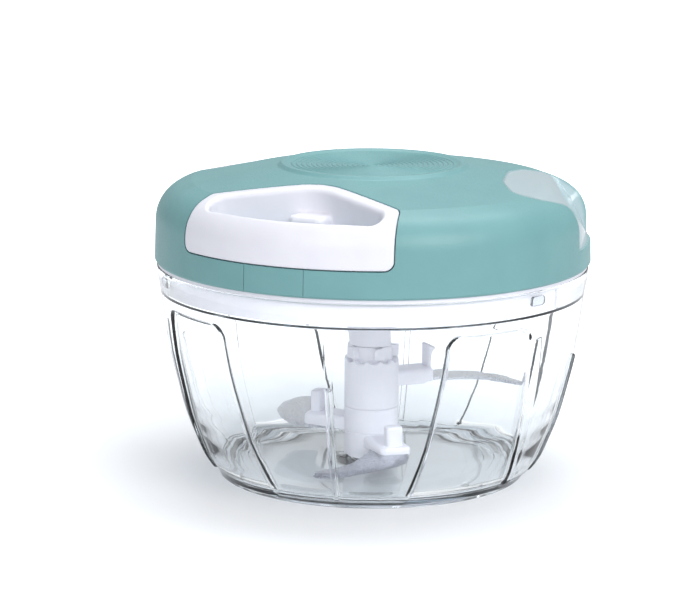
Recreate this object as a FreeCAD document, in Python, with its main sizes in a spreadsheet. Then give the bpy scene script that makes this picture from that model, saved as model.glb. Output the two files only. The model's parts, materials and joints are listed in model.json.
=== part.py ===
"""Pull-string food chopper: a clear bowl, a lid with a cord reel in it, and a stack of three blades.

Millimetres. The origin is the centre of the foot, +Z is up and the pull handle slides out along -Y.
Each size that a maker would choose is a row of the Sizes sheet, and every sketch, block, cylinder
and placement is bound to those rows. The pieces are built where they sit when the chopper is closed.
"""

import FreeCAD, Part
import math
import os

from FreeCAD import Placement, Rotation, Vector
import Sketcher

doc = FreeCAD.newDocument("FoodChopper")
sheet = doc.addObject("Spreadsheet::Sheet", "Sizes")


# A size that knows both its number and its formula

class Size:
    def __init__(self, number, formula):
        self.number = float(number)
        self.formula = formula

    def __float__(self):
        return self.number

    def joined(self, other, sign, number):
        return Size(number, "(" + self.formula + " " + sign + " " + as_size(other).formula + ")")

    def __add__(self, other):
        return self.joined(other, "+", self.number + float(other))

    def __sub__(self, other):
        return self.joined(other, "-", self.number - float(other))

    def __mul__(self, other):
        return self.joined(other, "*", self.number * float(other))

    def __truediv__(self, other):
        return self.joined(other, "/", self.number / float(other))

    def __radd__(self, other):
        return as_size(other) + self

    def __rsub__(self, other):
        return as_size(other) - self

    def __rmul__(self, other):
        return as_size(other) * self

    def __rtruediv__(self, other):
        return as_size(other) / self

    def __neg__(self):
        return Size(-self.number, "(0 - " + self.formula + ")")


def as_size(value):
    return value if isinstance(value, Size) else Size(value, "(%.6f)" % float(value))


def sine(angle):
    angle = as_size(angle)
    return Size(math.sin(math.radians(angle.number)), "sin(" + angle.formula + " * 1deg)")


def cosine(angle):
    angle = as_size(angle)
    return Size(math.cos(math.radians(angle.number)), "cos(" + angle.formula + " * 1deg)")


def size(alias, value, meaning):
    """Writes one row of the sheet: what the size is, its number and its name."""
    size.row += 1
    sheet.set("A%d" % size.row, meaning)
    sheet.set("B%d" % size.row, str(value))
    sheet.setAlias("B%d" % size.row, alias)
    return Size(value, "Sizes." + alias)


size.row = 0


# Clearances

running_fit = size("RunningFit", 0.05, "radial room of a shaft in its bush")
gap = size("Gap", 0.3, "room between pieces that must not touch")
seam = size("Seam", 0.15, "width of a parting line")

# Bowl

rim_radius = size("BowlRimRadius", 64.4, "bowl, outside radius at the rim")
rim_height = size("BowlRimHeight", 63.9, "bowl, height of the rim above the table")
bowl_wall = size("BowlWall", 2.0, "bowl, wall thickness")
bowl_floor = size("BowlFloor", 2.4, "bowl, floor thickness")
foot_draw = size("FootDraw", 18.4, "bowl, rim radius in to the outside of the foot ring")
foot_width = size("FootWidth", 2.6, "bowl, width of the foot ring")
foot_height = size("FootHeight", 2.2, "bowl, height of the foot ring")
foot_recess = size("FootRecess", 1.2, "bowl, depth of the hollow inside the foot ring")
neck_drop = size("NeckDrop", 2.4, "bowl, rim down to the start of the neck")
neck_height = size("NeckHeight", 5.0, "bowl, length of the neck's slope")
neck_step = size("NeckStep", 0.9, "bowl, how far the neck draws in below the rim")
upper_belly_draw = size("UpperBellyDraw", 3.0, "bowl, rim radius in to the radius two thirds up")
upper_belly_drop = size("UpperBellyDrop", 23.9, "bowl, rim down to that radius")
lower_belly_swell = size("LowerBellySwell", 10.2, "bowl, foot ring out to the radius one third up")
lower_belly_height = size("LowerBellyHeight", 19.4, "bowl, height of that radius")
heel_swell = size("HeelSwell", 5.0, "bowl, foot ring out to the radius just above the heel")
heel_height = size("HeelHeight", 6.6, "bowl, height of that radius")
flute_depth = size("FluteDepth", 0.9, "bowl, how far each of the four panels is set in")
flute_drop = size("FluteDrop", 10.6, "bowl, rim down to the panels' upper edge")
flute_top_width = size("FluteTopWidth", 28.0, "bowl, panel width at its upper edge")
flute_foot_width = size("FluteFootWidth", 34.4, "bowl, panel width at the foot")
flute_turn = size("FluteTurn", 59.0, "bowl, turn of the first panel from the handle side")
petal_turn = size("PetalTurn", 14.0, "bowl, turn of the first rib from the handle side")
petal_rib_width = size("PetalRibWidth", 1.8, "bowl, width of the rib between two panels")
petal_rib_proud = size("PetalRibProud", 0.8, "bowl, how far that rib stands out")
petal_rib_drop = size("PetalRibDrop", 25.2, "bowl, rim down to that rib's top")
key_height = size("KeyHeight", 2.6, "bowl, height of a lid key")
key_width = size("KeyWidth", 5.5, "bowl, width of a lid key")
key_proud = size("KeyProud", 0.7, "bowl, how far a lid key stands in from the wall")
key_drop = size("KeyDrop", 1.8, "bowl, rim down to the top of a lid key")
key_turn = size("KeyTurn", 73.7, "bowl, turn of the first lid key from the handle side")
pin_radius = size("PinRadius", 2.5, "centre pin, radius")
pin_height = size("PinHeight", 22.0, "centre pin, height above its boss")
pin_root = size("PinRoot", 2.4, "centre pin, depth in the bowl's boss")
boss_radius = size("BossRadius", 6.5, "bowl, radius of the boss round the centre pin")
boss_height = size("BossHeight", 0.5, "bowl, height of that boss above the floor")

# Lid skin

lid_overhang = size("LidOverhang", 0.6, "lid, how far it stands out past the bowl's rim")
lip_thickness = size("LipThickness", 1.1, "inner cover, thickness of the lip on the rim")
lid_wall = size("LidWall", 2.1, "top cover, thickness of the side wall")
roof_wall = size("RoofWall", 2.2, "top cover, thickness at the centre")
shoulder_radius = size("ShoulderRadius", 11.0, "top cover, rounding of the shoulder")
shoulder_drop = size("ShoulderDrop", 9.0, "top cover, disc edge down to the shoulder's corner")
crease_inset = size("CreaseInset", 11.0, "top cover, lid radius in to the crease")
crease_drop = size("CreaseDrop", 5.2, "top cover, disc edge down to the crease")
disc_radius = size("DiscRadius", 27.6, "top cover, radius of the raised centre disc")
disc_step = size("DiscStep", 1.0, "top cover, height of the disc above the dome")
dish_depth = size("DishDepth", 1.2, "top cover, depth of the dish in the disc")
scoop_bite = size("ScoopBite", 25.6, "top cover, lid radius in to the scoops' inner edge")
scoop_half = size("ScoopHalf", 25.2, "top cover, half the width of a scoop")
scoop_foot = size("ScoopFoot", 16.0, "top cover, half the width of a scoop at its lower end")
scoop_low = size("ScoopLow", 7.0, "top cover, lid edge up to the lower ends of the scoops")
scoop_swing = size("ScoopSwing", 150.0, "top cover, how far behind the lid's axis a scoop's own axis stands")
scoop_wall = size("ScoopWall", 1.6, "top cover, wall left behind a scoop")
scoop_turn = size("ScoopTurn", 108.0, "top cover, turn of each scoop from the handle side")
insert_half = size("InsertHalf", 9.4, "front insert, half its width")
insert_tab = size("InsertTab", 3.0, "front insert, tab behind the wall on each side")

# Inner cover and seal

plate_thickness = size("PlateThickness", 2.0, "inner cover, plate thickness")
skirt_drop = size("SkirtDrop", 6.7, "inner cover, length of the skirt below the rim")
skirt_wall = size("SkirtWall", 1.7, "inner cover, thickness of the skirt")
window_turn = size("WindowTurn", 18.0, "inner cover, arc of each key window")
seal_height = size("SealHeight", 1.0, "seal ring, height")
seal_depth = size("SealDepth", 0.9, "seal ring, depth of its groove")
cover_screw_inset = size("CoverScrewInset", 14.4, "cover screws, rim radius in to their centres")
screw_radius = size("ScrewRadius", 1.5, "screws, thread radius")
screw_head_radius = size("ScrewHeadRadius", 2.8, "screws, head radius")
screw_head_height = size("ScrewHeadHeight", 1.6, "screws, head height")
screw_length = size("ScrewLength", 9.0, "screws, thread length")
screw_post_radius = size("ScrewPostRadius", 3.9, "top cover, radius of a screw post")

# Handle

handle_rise = size("HandleRise", 8.2, "handle, its underside above the lid's edge")
handle_fit = size("HandleFit", 0.35, "handle, room round it in the pocket")
handle_setback = size("HandleSetback", 2.2, "handle, room between the reel housing and the pocket")
pocket_wall = size("PocketWall", 1.4, "top cover, wall of the handle pocket")
pocket_floor = size("PocketFloor", 1.5, "top cover, floor of the handle pocket")
handle_side_room = size("HandleSideRoom", 32.0, "handle, lid radius in to half the handle's width at the wall")
handle_lean = size("HandleLean", 17.0, "handle, lean of its sides")
handle_back_slope = size("HandleBackSlope", 23.0, "handle, slope of its back edges")
handle_back_radius = size("HandleBackRadius", 18.0, "handle, rounding of its back")
handle_corner = size("HandleCorner", 3.5, "handle, rounding of its back corners")
handle_side_level = size("HandleSideLevel", 9.5, "handle, lid edge in to where its half width is taken")
handle_back_wall = size("HandleBackWall", 4.0, "handle, thickness of its back wall")
handle_side_wall = size("HandleSideWall", 4.5, "handle, thickness of its side bars")
handle_bar = size("HandleBar", 5.2, "handle, thickness of the bar that the fingers pull")
handle_shelf = size("HandleShelf", 1.8, "handle, thickness of the shelf at its back")
nub_width = size("NubWidth", 11.4, "handle, width of the cord block")
nub_depth = size("NubDepth", 7.5, "handle, depth of the cord block")
nub_height = size("NubHeight", 11.0, "handle, height of the cord block")
knot_radius = size("KnotRadius", 1.6, "cord knot, radius")

# Reel

cord_radius = size("CordRadius", 0.85, "pull cord, radius")
cord_turns = size("CordTurns", 3, "pull cord, turns on the reel")
drum_radius = size("DrumRadius", 20.0, "reel, radius that the cord lies on")
flange_radius = size("FlangeRadius", 26.0, "reel, radius of its flanges")
flange_thickness = size("FlangeThickness", 1.35, "reel, thickness of a flange")
reel_web = size("ReelWeb", 1.6, "reel, thickness of its web")
spring_room_radius = size("SpringRoomRadius", 17.5, "reel, radius of the spring's room")
spring_wire = size("SpringWire", 0.4, "mainspring, strip thickness")
spring_turns = size("SpringTurns", 7, "mainspring, turns")
cap_thickness = size("CapThickness", 0.5, "spring cap, thickness")
axle_radius = size("AxleRadius", 3.0, "axle, radius")
axle_head_radius = size("AxleHeadRadius", 4.6, "axle, radius of its head")
axle_head_height = size("AxleHeadHeight", 1.1, "axle, height of its head")
axle_grip = size("AxleGrip", 5.3, "axle, depth in the top cover's boss")
washer_thickness = size("WasherThickness", 0.35, "reel washer, thickness")
bush_wall = size("BushWall", 1.2, "bushes, wall thickness")
housing_rise = size("HousingRise", 6.5, "reel housing, its base above the lid's edge")
housing_base = size("HousingBase", 1.6, "reel housing, thickness of its base")
housing_wall = size("HousingWall", 1.4, "reel housing, thickness of its wall")
housing_room = size("HousingRoom", 2.3, "reel housing, room round the reel's flanges")
housing_bore = size("HousingBore", 12.0, "reel housing, radius of its centre hole")
housing_screw_ring = size("HousingScrewRing", 33.8, "housing screws, distance from the axis")
eyelet_radius = size("EyeletRadius", 2.5, "cord eyelet, outside radius")
eyelet_bore = size("EyeletBore", 1.2, "cord eyelet, radius of its hole")
eyelet_flange = size("EyeletFlange", 1.0, "cord eyelet, thickness of its flange")

# Ratchet and drive

ratchet_floor = size("RatchetFloor", 1.6, "drive hub, floor of the ratchet cup")
ratchet_radius = size("RatchetRadius", 14.4, "drive hub, inside radius of the ratchet")
ratchet_wall = size("RatchetWall", 2.4, "drive hub, wall of the ratchet cup")
ratchet_teeth = size("RatchetTeeth", 12, "drive hub, number of ratchet teeth")
tooth_depth = size("ToothDepth", 1.2, "drive hub, depth of a ratchet tooth")
pawl_height = size("PawlHeight", 2.2, "pawls, thickness")
pawl_pin_radius = size("PawlPinRadius", 0.9, "pawl pins, radius")
pawl_ring = size("PawlRing", 8.6, "pawl pins, distance from the axis")
drive_radius = size("DriveRadius", 8.0, "drive hub, radius of its shaft")
drive_collar = size("DriveCollar", 11.0, "drive hub, radius of its collar")
drive_collar_height = size("DriveCollarHeight", 1.4, "drive hub, height of its collar")
drive_nose = size("DriveNose", 7.5, "drive hub, radius of its lower end")
nose_taper = size("NoseTaper", 0.8, "drive hub, how far its lower end draws in")
drive_reach = size("DriveReach", 25.0, "drive hub, rim down to its lower end")
socket_depth = size("SocketDepth", 13.1, "drive hub, depth of the socket")
spline_radius = size("SplineRadius", 4.8, "blade shaft, corner radius of its six-sided end")
spline_length = size("SplineLength", 12.5, "blade shaft, length of its six-sided end")
spline_fit = size("SplineFit", 0.2, "blade shaft, room round its end in the socket")
bearing_flange = size("BearingFlange", 12.0, "drive bearing, radius of its flange")
bearing_flange_height = size("BearingFlangeHeight", 1.1, "drive bearing, height of its flange")

# Blade stack

shaft_radius = size("ShaftRadius", 6.3, "blade shaft, radius")
shaft_bore = size("ShaftBore", 3.9, "blade shaft, radius of the hole for its bush")
sleeve_radius = size("SleeveRadius", 8.2, "sleeves, outside radius")
lower_sleeve = size("LowerSleeve", 7.8, "lower sleeve, height")
middle_sleeve = size("MiddleSleeve", 8.3, "middle sleeve, height")
upper_sleeve = size("UpperSleeve", 14.8, "upper sleeve, height")
scallop_radius = size("ScallopRadius", 2.3, "upper sleeve, radius of the scallops at its top")
scallop_depth = size("ScallopDepth", 1.1, "upper sleeve, depth of those scallops")
collar_height = size("CollarHeight", 3.6, "blade shaft, height of the collar above the sleeves")
collar_lug = size("CollarLug", 1.8, "blade shaft, how far the collar's lugs stand out")
lug_turn = size("LugTurn", 115.5, "blade shaft, turn of the first lug from the handle side")
arm_reach = size("ArmReach", 21.0, "blade arms, reach from the axis")
arm_width = size("ArmWidth", 10.0, "blade arms, width")
arm_rounding = size("ArmRounding", 2.2, "blade arms, rounding of the outer corners")
lower_arm_lift = size("LowerArmLift", 3.7, "lower sleeve, its base up to the arm")
lower_arm_height = size("LowerArmHeight", 3.5, "lower sleeve, height of the arm")
middle_arm_lift = size("MiddleArmLift", 0.4, "middle sleeve, its base up to the arm")
middle_arm_height = size("MiddleArmHeight", 4.1, "middle sleeve, height of the arm")
upper_arm_lift = size("UpperArmLift", 5.8, "upper sleeve, its base up to the arm")
upper_arm_height = size("UpperArmHeight", 4.4, "upper sleeve, height of the arm")
stub_thickness = size("StubThickness", 3.4, "upright stubs, thickness")
stub_height = size("StubHeight", 6.4, "upright stubs, height above the arm")
upper_stub_height = size("UpperStubHeight", 7.3, "upper stub, height above the arm")
upper_arm_reach = size("UpperArmReach", 20.9, "upper arm, reach from the axis")
stub_inset = size("StubInset", 1.4, "upright stubs, distance in from the arm's end")
stub_width = size("StubWidth", 5.2, "upright stubs, width")
stub_rounding = size("StubRounding", 1.1, "upright stubs, rounding of their edges")
blade_seat = size("BladeSeat", 0.2, "blades, middle of the steel above the arm's underside")
blade_steel = size("BladeSteel", 0.9, "blades, thickness")
blade_room = size("BladeRoom", 1.7, "blades, room from their tips to the inside of the bowl's heel")
blade_tilt = size("BladeTilt", 1.5, "blades, tilt of the plane")
lower_turn = size("LowerTurn", 47.0, "lower arm, turn from the handle side")
middle_turn = size("MiddleTurn", -90.1, "middle arm, turn from the handle side")
upper_turn = size("UpperTurn", 138.5, "upper arm, turn from the handle side")

doc.recompute()

# Heights and radii that follow from the sizes

foot_radius = rim_radius - foot_draw
heel_radius = foot_radius + heel_swell
lower_belly_radius = foot_radius + lower_belly_swell
upper_belly_radius = rim_radius - upper_belly_draw
upper_belly_height = rim_height - upper_belly_drop
flute_top = rim_height - flute_drop
petal_rib_top = rim_height - petal_rib_drop
floor_top = foot_recess + bowl_floor
boss_top = floor_top + boss_height
cover_bottom = rim_height + lip_thickness
lid_radius = rim_radius + lid_overhang
scoop_reach = lid_radius - scoop_bite
handle_half = lid_radius - handle_side_room
cover_screw_ring = rim_radius - cover_screw_inset
plate_top = rim_height + plate_thickness
skirt_bottom = rim_height - skirt_drop
skirt_radius = rim_radius - bowl_wall - gap
handle_bottom = cover_bottom + handle_rise
pocket_floor_top = handle_bottom - gap
housing_floor = cover_bottom + housing_rise
housing_bottom = housing_floor - housing_base
cup_bottom = housing_floor + gap
cup_floor_top = cup_bottom + ratchet_floor
pawl_bottom = cup_floor_top + gap
pawl_top = pawl_bottom + pawl_height
reel_bottom = pawl_top + gap
groove_bottom = reel_bottom + flange_thickness
groove_height = 2 * cord_radius * cord_turns + seam * 2
groove_top = groove_bottom + groove_height
reel_top = groove_top + flange_thickness
cap_top = reel_top + cap_thickness
cover_boss_bottom = cap_top + gap
roof_under = cover_boss_bottom + axle_grip
disc_floor = roof_under + roof_wall
disc_top = disc_floor + dish_depth
cord_height = groove_bottom + groove_height / 2
housing_outer = flange_radius + housing_room + housing_wall
pocket_back = housing_outer + handle_fit + handle_setback
handle_back = pocket_back + pocket_wall + handle_fit


# Helpers for sketches, blocks and booleans

def bind(thing, name, value):
    thing.setExpression(name, as_size(value).formula)


def pin_point(sketch, geometry, end, x, y):
    """Holds a point of the sketch at x, y, each bound to its formula."""
    for kind, value, axis in (("DistanceX", x, -2), ("DistanceY", y, -1)):
        if isinstance(value, Size):
            number = sketch.addConstraint(Sketcher.Constraint(kind, -1, 1, geometry, end, value.number))
            bind(sketch, "Constraints[%d]" % number, value)
        elif value == 0:
            sketch.addConstraint(Sketcher.Constraint("PointOnObject", geometry, end, axis))
        else:
            sketch.addConstraint(Sketcher.Constraint(kind, -1, 1, geometry, end, float(value)))


def outline(sketch, corners):
    """Draws a closed outline of straight sides. A corner's third value is its rounding."""
    spots = [Vector(float(c[0]), float(c[1]), 0) for c in corners]
    count = len(corners)
    starts = []
    ends = []
    for i in range(count):
        before = (spots[i] - spots[i - 1]).normalize()
        after = (spots[(i + 1) % count] - spots[i]).normalize()
        radius = float(corners[i][2]) if len(corners[i]) > 2 else 0.0
        turn = math.acos(max(-1.0, min(1.0, before.dot(after))))
        back = radius * math.tan(turn / 2)
        ends.append(spots[i] - before * back)
        starts.append(spots[i] + after * back)
    sides = []
    for i in range(count):
        line = Part.LineSegment(starts[i], ends[(i + 1) % count])
        sides.append(sketch.addGeometry(line, False))
    for i in range(count):
        before, after = sides[i - 1], sides[i]
        if len(corners[i]) < 3:
            sketch.addConstraint(Sketcher.Constraint("Coincident", before, 2, after, 1))
            pin_point(sketch, after, 1, corners[i][0], corners[i][1])
            continue
        along = (spots[i] - spots[i - 1]).normalize()
        onward = (spots[(i + 1) % count] - spots[i]).normalize()
        left_turn = along.x * onward.y - along.y * onward.x > 0
        side = 1 if left_turn else -1
        radius = float(corners[i][2])
        centre = ends[i] + Vector(-along.y, along.x, 0) * radius * side
        first, last = (ends[i], starts[i]) if left_turn else (starts[i], ends[i])
        angles = [math.atan2(p.y - centre.y, p.x - centre.x) for p in (first, last)]
        if angles[1] < angles[0]:
            angles[1] += 2 * math.pi
        circle = Part.Circle(centre, Vector(0, 0, 1), radius)
        arc = sketch.addGeometry(Part.ArcOfCircle(circle, angles[0], angles[1]), False)
        near, far = (1, 2) if left_turn else (2, 1)
        sketch.addConstraint(Sketcher.Constraint("Tangent", before, 2, arc, near))
        sketch.addConstraint(Sketcher.Constraint("Tangent", arc, far, after, 1))
        number = sketch.addConstraint(Sketcher.Constraint("Radius", arc, radius))
        bind(sketch, "Constraints[%d]" % number, corners[i][2])
        corner = sketch.addGeometry(Part.Point(spots[i]), True)
        pin_point(sketch, corner, 1, corners[i][0], corners[i][1])
        sketch.addConstraint(Sketcher.Constraint("PointOnObject", corner, 1, before))
        sketch.addConstraint(Sketcher.Constraint("PointOnObject", corner, 1, after))


def new_body(name):
    body = doc.addObject("PartDesign::Body", name)
    body.Label = name
    return body


def new_sketch(body, name, plane, lift=None):
    sketch = body.newObject("Sketcher::SketchObject", name)
    origin = [f for f in body.Origin.OriginFeatures if f.Role == plane][0]
    sketch.AttachmentSupport = [(origin, "")]
    sketch.MapMode = "FlatFace"
    if lift is not None:
        bind(sketch, ".AttachmentOffset.Base.z", lift)
    return sketch


def turned(name, corners):
    """A body of revolution about Z from its half section, given as radius and height."""
    body = new_body(name)
    sketch = new_sketch(body, name + "_section", "XZ_Plane")
    outline(sketch, corners)
    feature = body.newObject("PartDesign::Revolution", name + "_turn")
    feature.Profile = sketch
    feature.ReferenceAxis = (sketch, ["V_Axis"])
    feature.Angle = 360
    sketch.Visibility = False
    return body


def plate(name, corners, bottom, height):
    """A body of even height from its plan, standing on the given level."""
    body = new_body(name)
    sketch = new_sketch(body, name + "_plan", "XY_Plane", bottom)
    outline(sketch, corners)
    feature = body.newObject("PartDesign::Pad", name + "_pad")
    feature.Profile = sketch
    bind(feature, "Length", height)
    return body


def ring(name, inner, outer, bottom, top):
    """A plain ring or, with no inner radius, a plain disc."""
    return turned(name, [(inner, bottom), (outer, bottom), (outer, top), (inner, top)])


def block(name, length, width, height, x, y, z):
    """A box from its lower corner."""
    box = doc.addObject("Part::Box", name)
    box.Label = name
    bind(box, "Length", length)
    bind(box, "Width", width)
    bind(box, "Height", height)
    bind(box, ".Placement.Base.x", x)
    bind(box, ".Placement.Base.y", y)
    bind(box, ".Placement.Base.z", z)
    return box


def rod(name, radius, height, x, y, z):
    """An upright cylinder."""
    cylinder = doc.addObject("Part::Cylinder", name)
    cylinder.Label = name
    bind(cylinder, "Radius", radius)
    bind(cylinder, "Height", height)
    bind(cylinder, ".Placement.Base.x", x)
    bind(cylinder, ".Placement.Base.y", y)
    bind(cylinder, ".Placement.Base.z", z)
    return cylinder


def cross_rod(name, radius, length, y, z):
    """A cylinder on the handle's centre line that runs from y towards -Y."""
    cylinder = rod(name, radius, length, 0, y, z)
    cylinder.Placement.Rotation = Rotation(Vector(1, 0, 0), 90)
    return cylinder


def turn(thing, angle):
    """Turns a piece about the axis of the chopper, from the handle side towards +X."""
    thing.Placement.Rotation = Rotation(Vector(0, 0, 1), 1)
    bind(thing, ".Placement.Rotation.Angle", angle)
    return thing


def cut(name, base, tool):
    result = doc.addObject("Part::Cut", name)
    result.Label = name
    result.Base = base
    result.Tool = tool
    return result


def fuse(name, pieces):
    result = doc.addObject("Part::MultiFuse", name)
    result.Label = name
    result.Shapes = pieces
    return result


def common(name, first, second):
    result = doc.addObject("Part::MultiCommon", name)
    result.Label = name
    result.Shapes = [first, second]
    return result


def group(name, pieces):
    """Identical fasteners or links kept together as one piece of the parts list."""
    result = doc.addObject("Part::Compound", name)
    result.Label = name
    result.Links = pieces
    return result


def shaped(name, shape):
    """A piece with a free-form shape, worked out from the sheet."""
    result = doc.addObject("Part::Feature", name)
    result.Label = name
    result.Shape = shape
    return result


handed_in = []


def keep(piece):
    """Marks a finished piece of the chopper."""
    handed_in.append(piece)
    return piece


# Bowl

def bowl_section(offset, inside_offset):
    """Half section of the bowl's wall with its outside and inside moved by the two offsets."""
    far = bowl_wall + inside_offset
    return [
        (foot_radius - foot_width, 0),
        (foot_radius, 0),
        (foot_radius + gap, foot_height),
        (foot_radius + bowl_wall + offset, foot_height + seam, 1.5),
        (heel_radius + offset, heel_height, 20),
        (lower_belly_radius + offset, lower_belly_height, 60),
        (upper_belly_radius + offset, upper_belly_height, 100),
        (rim_radius - neck_step + offset, rim_height - neck_drop - neck_height, 30),
        (rim_radius + offset, rim_height - neck_drop, 8),
        (rim_radius + offset, rim_height),
        (rim_radius - far, rim_height),
        (rim_radius - far, rim_height - skirt_drop - gap),
        (rim_radius - neck_step - far, rim_height - skirt_drop - 2 * gap - seam),
        (upper_belly_radius - far, upper_belly_height, 100),
        (lower_belly_radius - far, lower_belly_height + seam, 60),
        (heel_radius - far, heel_height + bowl_wall, 18),
        (foot_radius + seam - inside_offset, floor_top, 3),
        (boss_radius, floor_top),
        (boss_radius, boss_top),
        (pin_radius, boss_top),
        (pin_radius, boss_top - pin_root),
        (0, boss_top - pin_root),
        (0, foot_recess),
        (foot_radius - foot_width, foot_recess),
    ]


bowl_shell = turned("bowl_shell", bowl_section(as_size(0), as_size(0)))
bowl_inset = turned("bowl_inset", bowl_section(-flute_depth, flute_depth))
flute_reach = rim_radius * 2
panel_bottom = foot_height - seam * 3
flute_corners = [
    (-flute_foot_width / 2, panel_bottom),
    (flute_foot_width / 2, panel_bottom),
    (flute_top_width / 2, flute_top, 4.5),
    (-flute_top_width / 2, flute_top, 4.5),
]


def side_prism(name, corners, length):
    """A prism with its plan facing the handle side, from the axis outwards."""
    body = new_body(name)
    sketch = new_sketch(body, name + "_face", "XZ_Plane")
    outline(sketch, corners)
    feature = body.newObject("PartDesign::Pad", name + "_pad")
    feature.Profile = sketch
    bind(feature, "Length", length)
    return body


flute_prisms = []
rib_prisms = []
rib_corners = [
    (-petal_rib_width / 2, panel_bottom),
    (petal_rib_width / 2, panel_bottom),
    (petal_rib_width / 2, petal_rib_top, petal_rib_width * 0.45),
    (-petal_rib_width / 2, petal_rib_top, petal_rib_width * 0.45),
]
for quarter in range(4):
    flute = side_prism("flute_prism_%d" % quarter, flute_corners, flute_reach)
    flute_prisms.append(turn(flute, flute_turn + 90 * quarter))
    rib = side_prism("rib_prism_%d" % quarter, rib_corners, flute_reach)
    rib_prisms.append(turn(rib, petal_turn + 90 * quarter))
flutes = fuse("flutes", flute_prisms)
bowl_petals = cut("bowl_petals", bowl_shell, flutes)
bowl_panels = common("bowl_panels", bowl_inset, flutes)
bowl_rib_shell = turned("bowl_rib_shell", bowl_section(petal_rib_proud, -petal_rib_proud))
bowl_ribs = common("bowl_ribs", bowl_rib_shell, fuse("rib_prisms", rib_prisms))

key_top = rim_height - key_drop
key_bottom = key_top - key_height
key_inner = rim_radius - bowl_wall - key_proud
key_corners = [
    (-key_width / 2, key_bottom, 0.9),
    (key_width / 2, key_bottom, 0.9),
    (key_width / 2, key_top, 0.9),
    (-key_width / 2, key_top, 0.9),
]
window_half = skirt_radius * sine(window_turn / 2)
window_corners = [
    (-window_half, skirt_bottom - 1),
    (window_half, skirt_bottom - 1),
    (window_half, key_top + gap),
    (-window_half, key_top + gap),
]
key_prisms = []
window_prisms = []
for third in range(3):
    key = side_prism("key_prism_%d" % third, key_corners, flute_reach)
    key_prisms.append(turn(key, key_turn + 120 * third))
    window = side_prism("window_prism_%d" % third, window_corners, flute_reach)
    window_prisms.append(turn(window, key_turn + 120 * third))
key_ring = ring("key_ring", key_inner, rim_radius - bowl_wall / 2, key_bottom - 1, key_top + 1)
bowl_keys = common("bowl_keys", key_ring, fuse("key_prisms", key_prisms))
keep(fuse("bowl", [bowl_petals, bowl_panels, bowl_ribs, bowl_keys]))

keep(turned("centre_pin", [
    (0, boss_top - pin_root),
    (pin_radius, boss_top - pin_root),
    (pin_radius, boss_top + pin_height, 1.2),
    (0, boss_top + pin_height),
]))


# Top cover: the skin of the lid, with the handle's pocket, the screw posts and the axle's boss

shoulder_level = disc_top - shoulder_drop
crease_radius = lid_radius - crease_inset
crease_level = disc_top - crease_drop
dome_top = disc_top - disc_step
cover_envelope = turned("cover_envelope", [
    (0, cover_bottom),
    (lid_radius - gap - seam, cover_bottom),
    (lid_radius, cover_bottom + gap * 2),
    (lid_radius - gap * 2, shoulder_level, shoulder_radius),
    (crease_radius, crease_level),
    (disc_radius + gap * 3, dome_top),
    (disc_radius - gap, disc_top, 0.6),
    (disc_radius - 1.6, disc_top, 1.0),
    (disc_radius - 2.8, disc_floor + dish_depth / 2, 2.0),
    (0, disc_floor),
])
cavity_radius = lid_radius - lid_wall
cover_cavity = turned("cover_cavity", [
    (0, cover_bottom - 1),
    (cavity_radius, cover_bottom - 1),
    (cavity_radius - gap * 2, cover_bottom + handle_rise / 2, 10),
    (cavity_radius - gap * 11, shoulder_level - lid_wall * 2, 8),
    (crease_radius - gap * 12, crease_level - roof_wall, 5),
    (disc_radius, dome_top - roof_wall * 1.7),
    (disc_radius - 1.6, roof_under),
    (0, roof_under),
])


def around(radius, angle):
    """Place on a circle about the axis: the angle runs from the handle side towards +X."""
    return radius * sine(angle), -(radius * cosine(angle))


def scoop_tool(name, side, out):
    """What a scoop takes off the cover, grown by a wall's thickness or by nothing."""
    half, foot, reach = scoop_half + out, scoop_foot + out, scoop_reach - out
    prism = plate(name + "_prism", [
        (-foot, -lid_radius - 10),
        (foot, -lid_radius - 10),
        (foot, -lid_radius + 6.5, 6),
        (half, -lid_radius + 16, 3.5),
        (half - 3.2, -reach - 3.8, 7.5),
        (half * 0.38, -reach, 18),
        (-half * 0.38, -reach, 18),
        (-half + 3.2, -reach - 3.8, 7.5),
        (-half, -lid_radius + 16, 3.5),
        (-foot, -lid_radius + 6.5, 6),
    ], cover_bottom + scoop_low - out, disc_top - cover_bottom)
    edge = scoop_swing + lid_radius
    dome = turned(name + "_dome", [
        (scoop_swing + 30, cover_bottom - 3),
        (edge + 0.4 - out, cover_bottom - 3),
        (edge - 1.55 - out, cover_bottom + 7, 40),
        (edge - 6.4 - out * 0.8, disc_top - 11.2 - out * 0.6, 22),
        (edge - 12.4 - out * 0.4, disc_top - 5.8 - out, 10),
        (edge - 21, disc_top - 4.4 - out),
        (scoop_swing + 30, disc_top - 2.1 - out),
    ])
    x, y = around(scoop_swing, scoop_turn * side)
    bind(dome, ".Placement.Base.x", -x)
    bind(dome, ".Placement.Base.y", -y)
    return cut(name, turn(prism, scoop_turn * side), dome)


scoop_cuts = fuse("scoop_cuts", [scoop_tool("scoop_right", 1, 0), scoop_tool("scoop_left", -1, 0)])
scoop_backs = fuse("scoop_backs", [scoop_tool("scoop_back_right", 1, scoop_wall),
                                   scoop_tool("scoop_back_left", -1, scoop_wall)])
cover_room = cut("cover_room", cover_cavity, scoop_backs)
cover_shell = cut("cover_shell", cover_envelope, cover_room)


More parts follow.
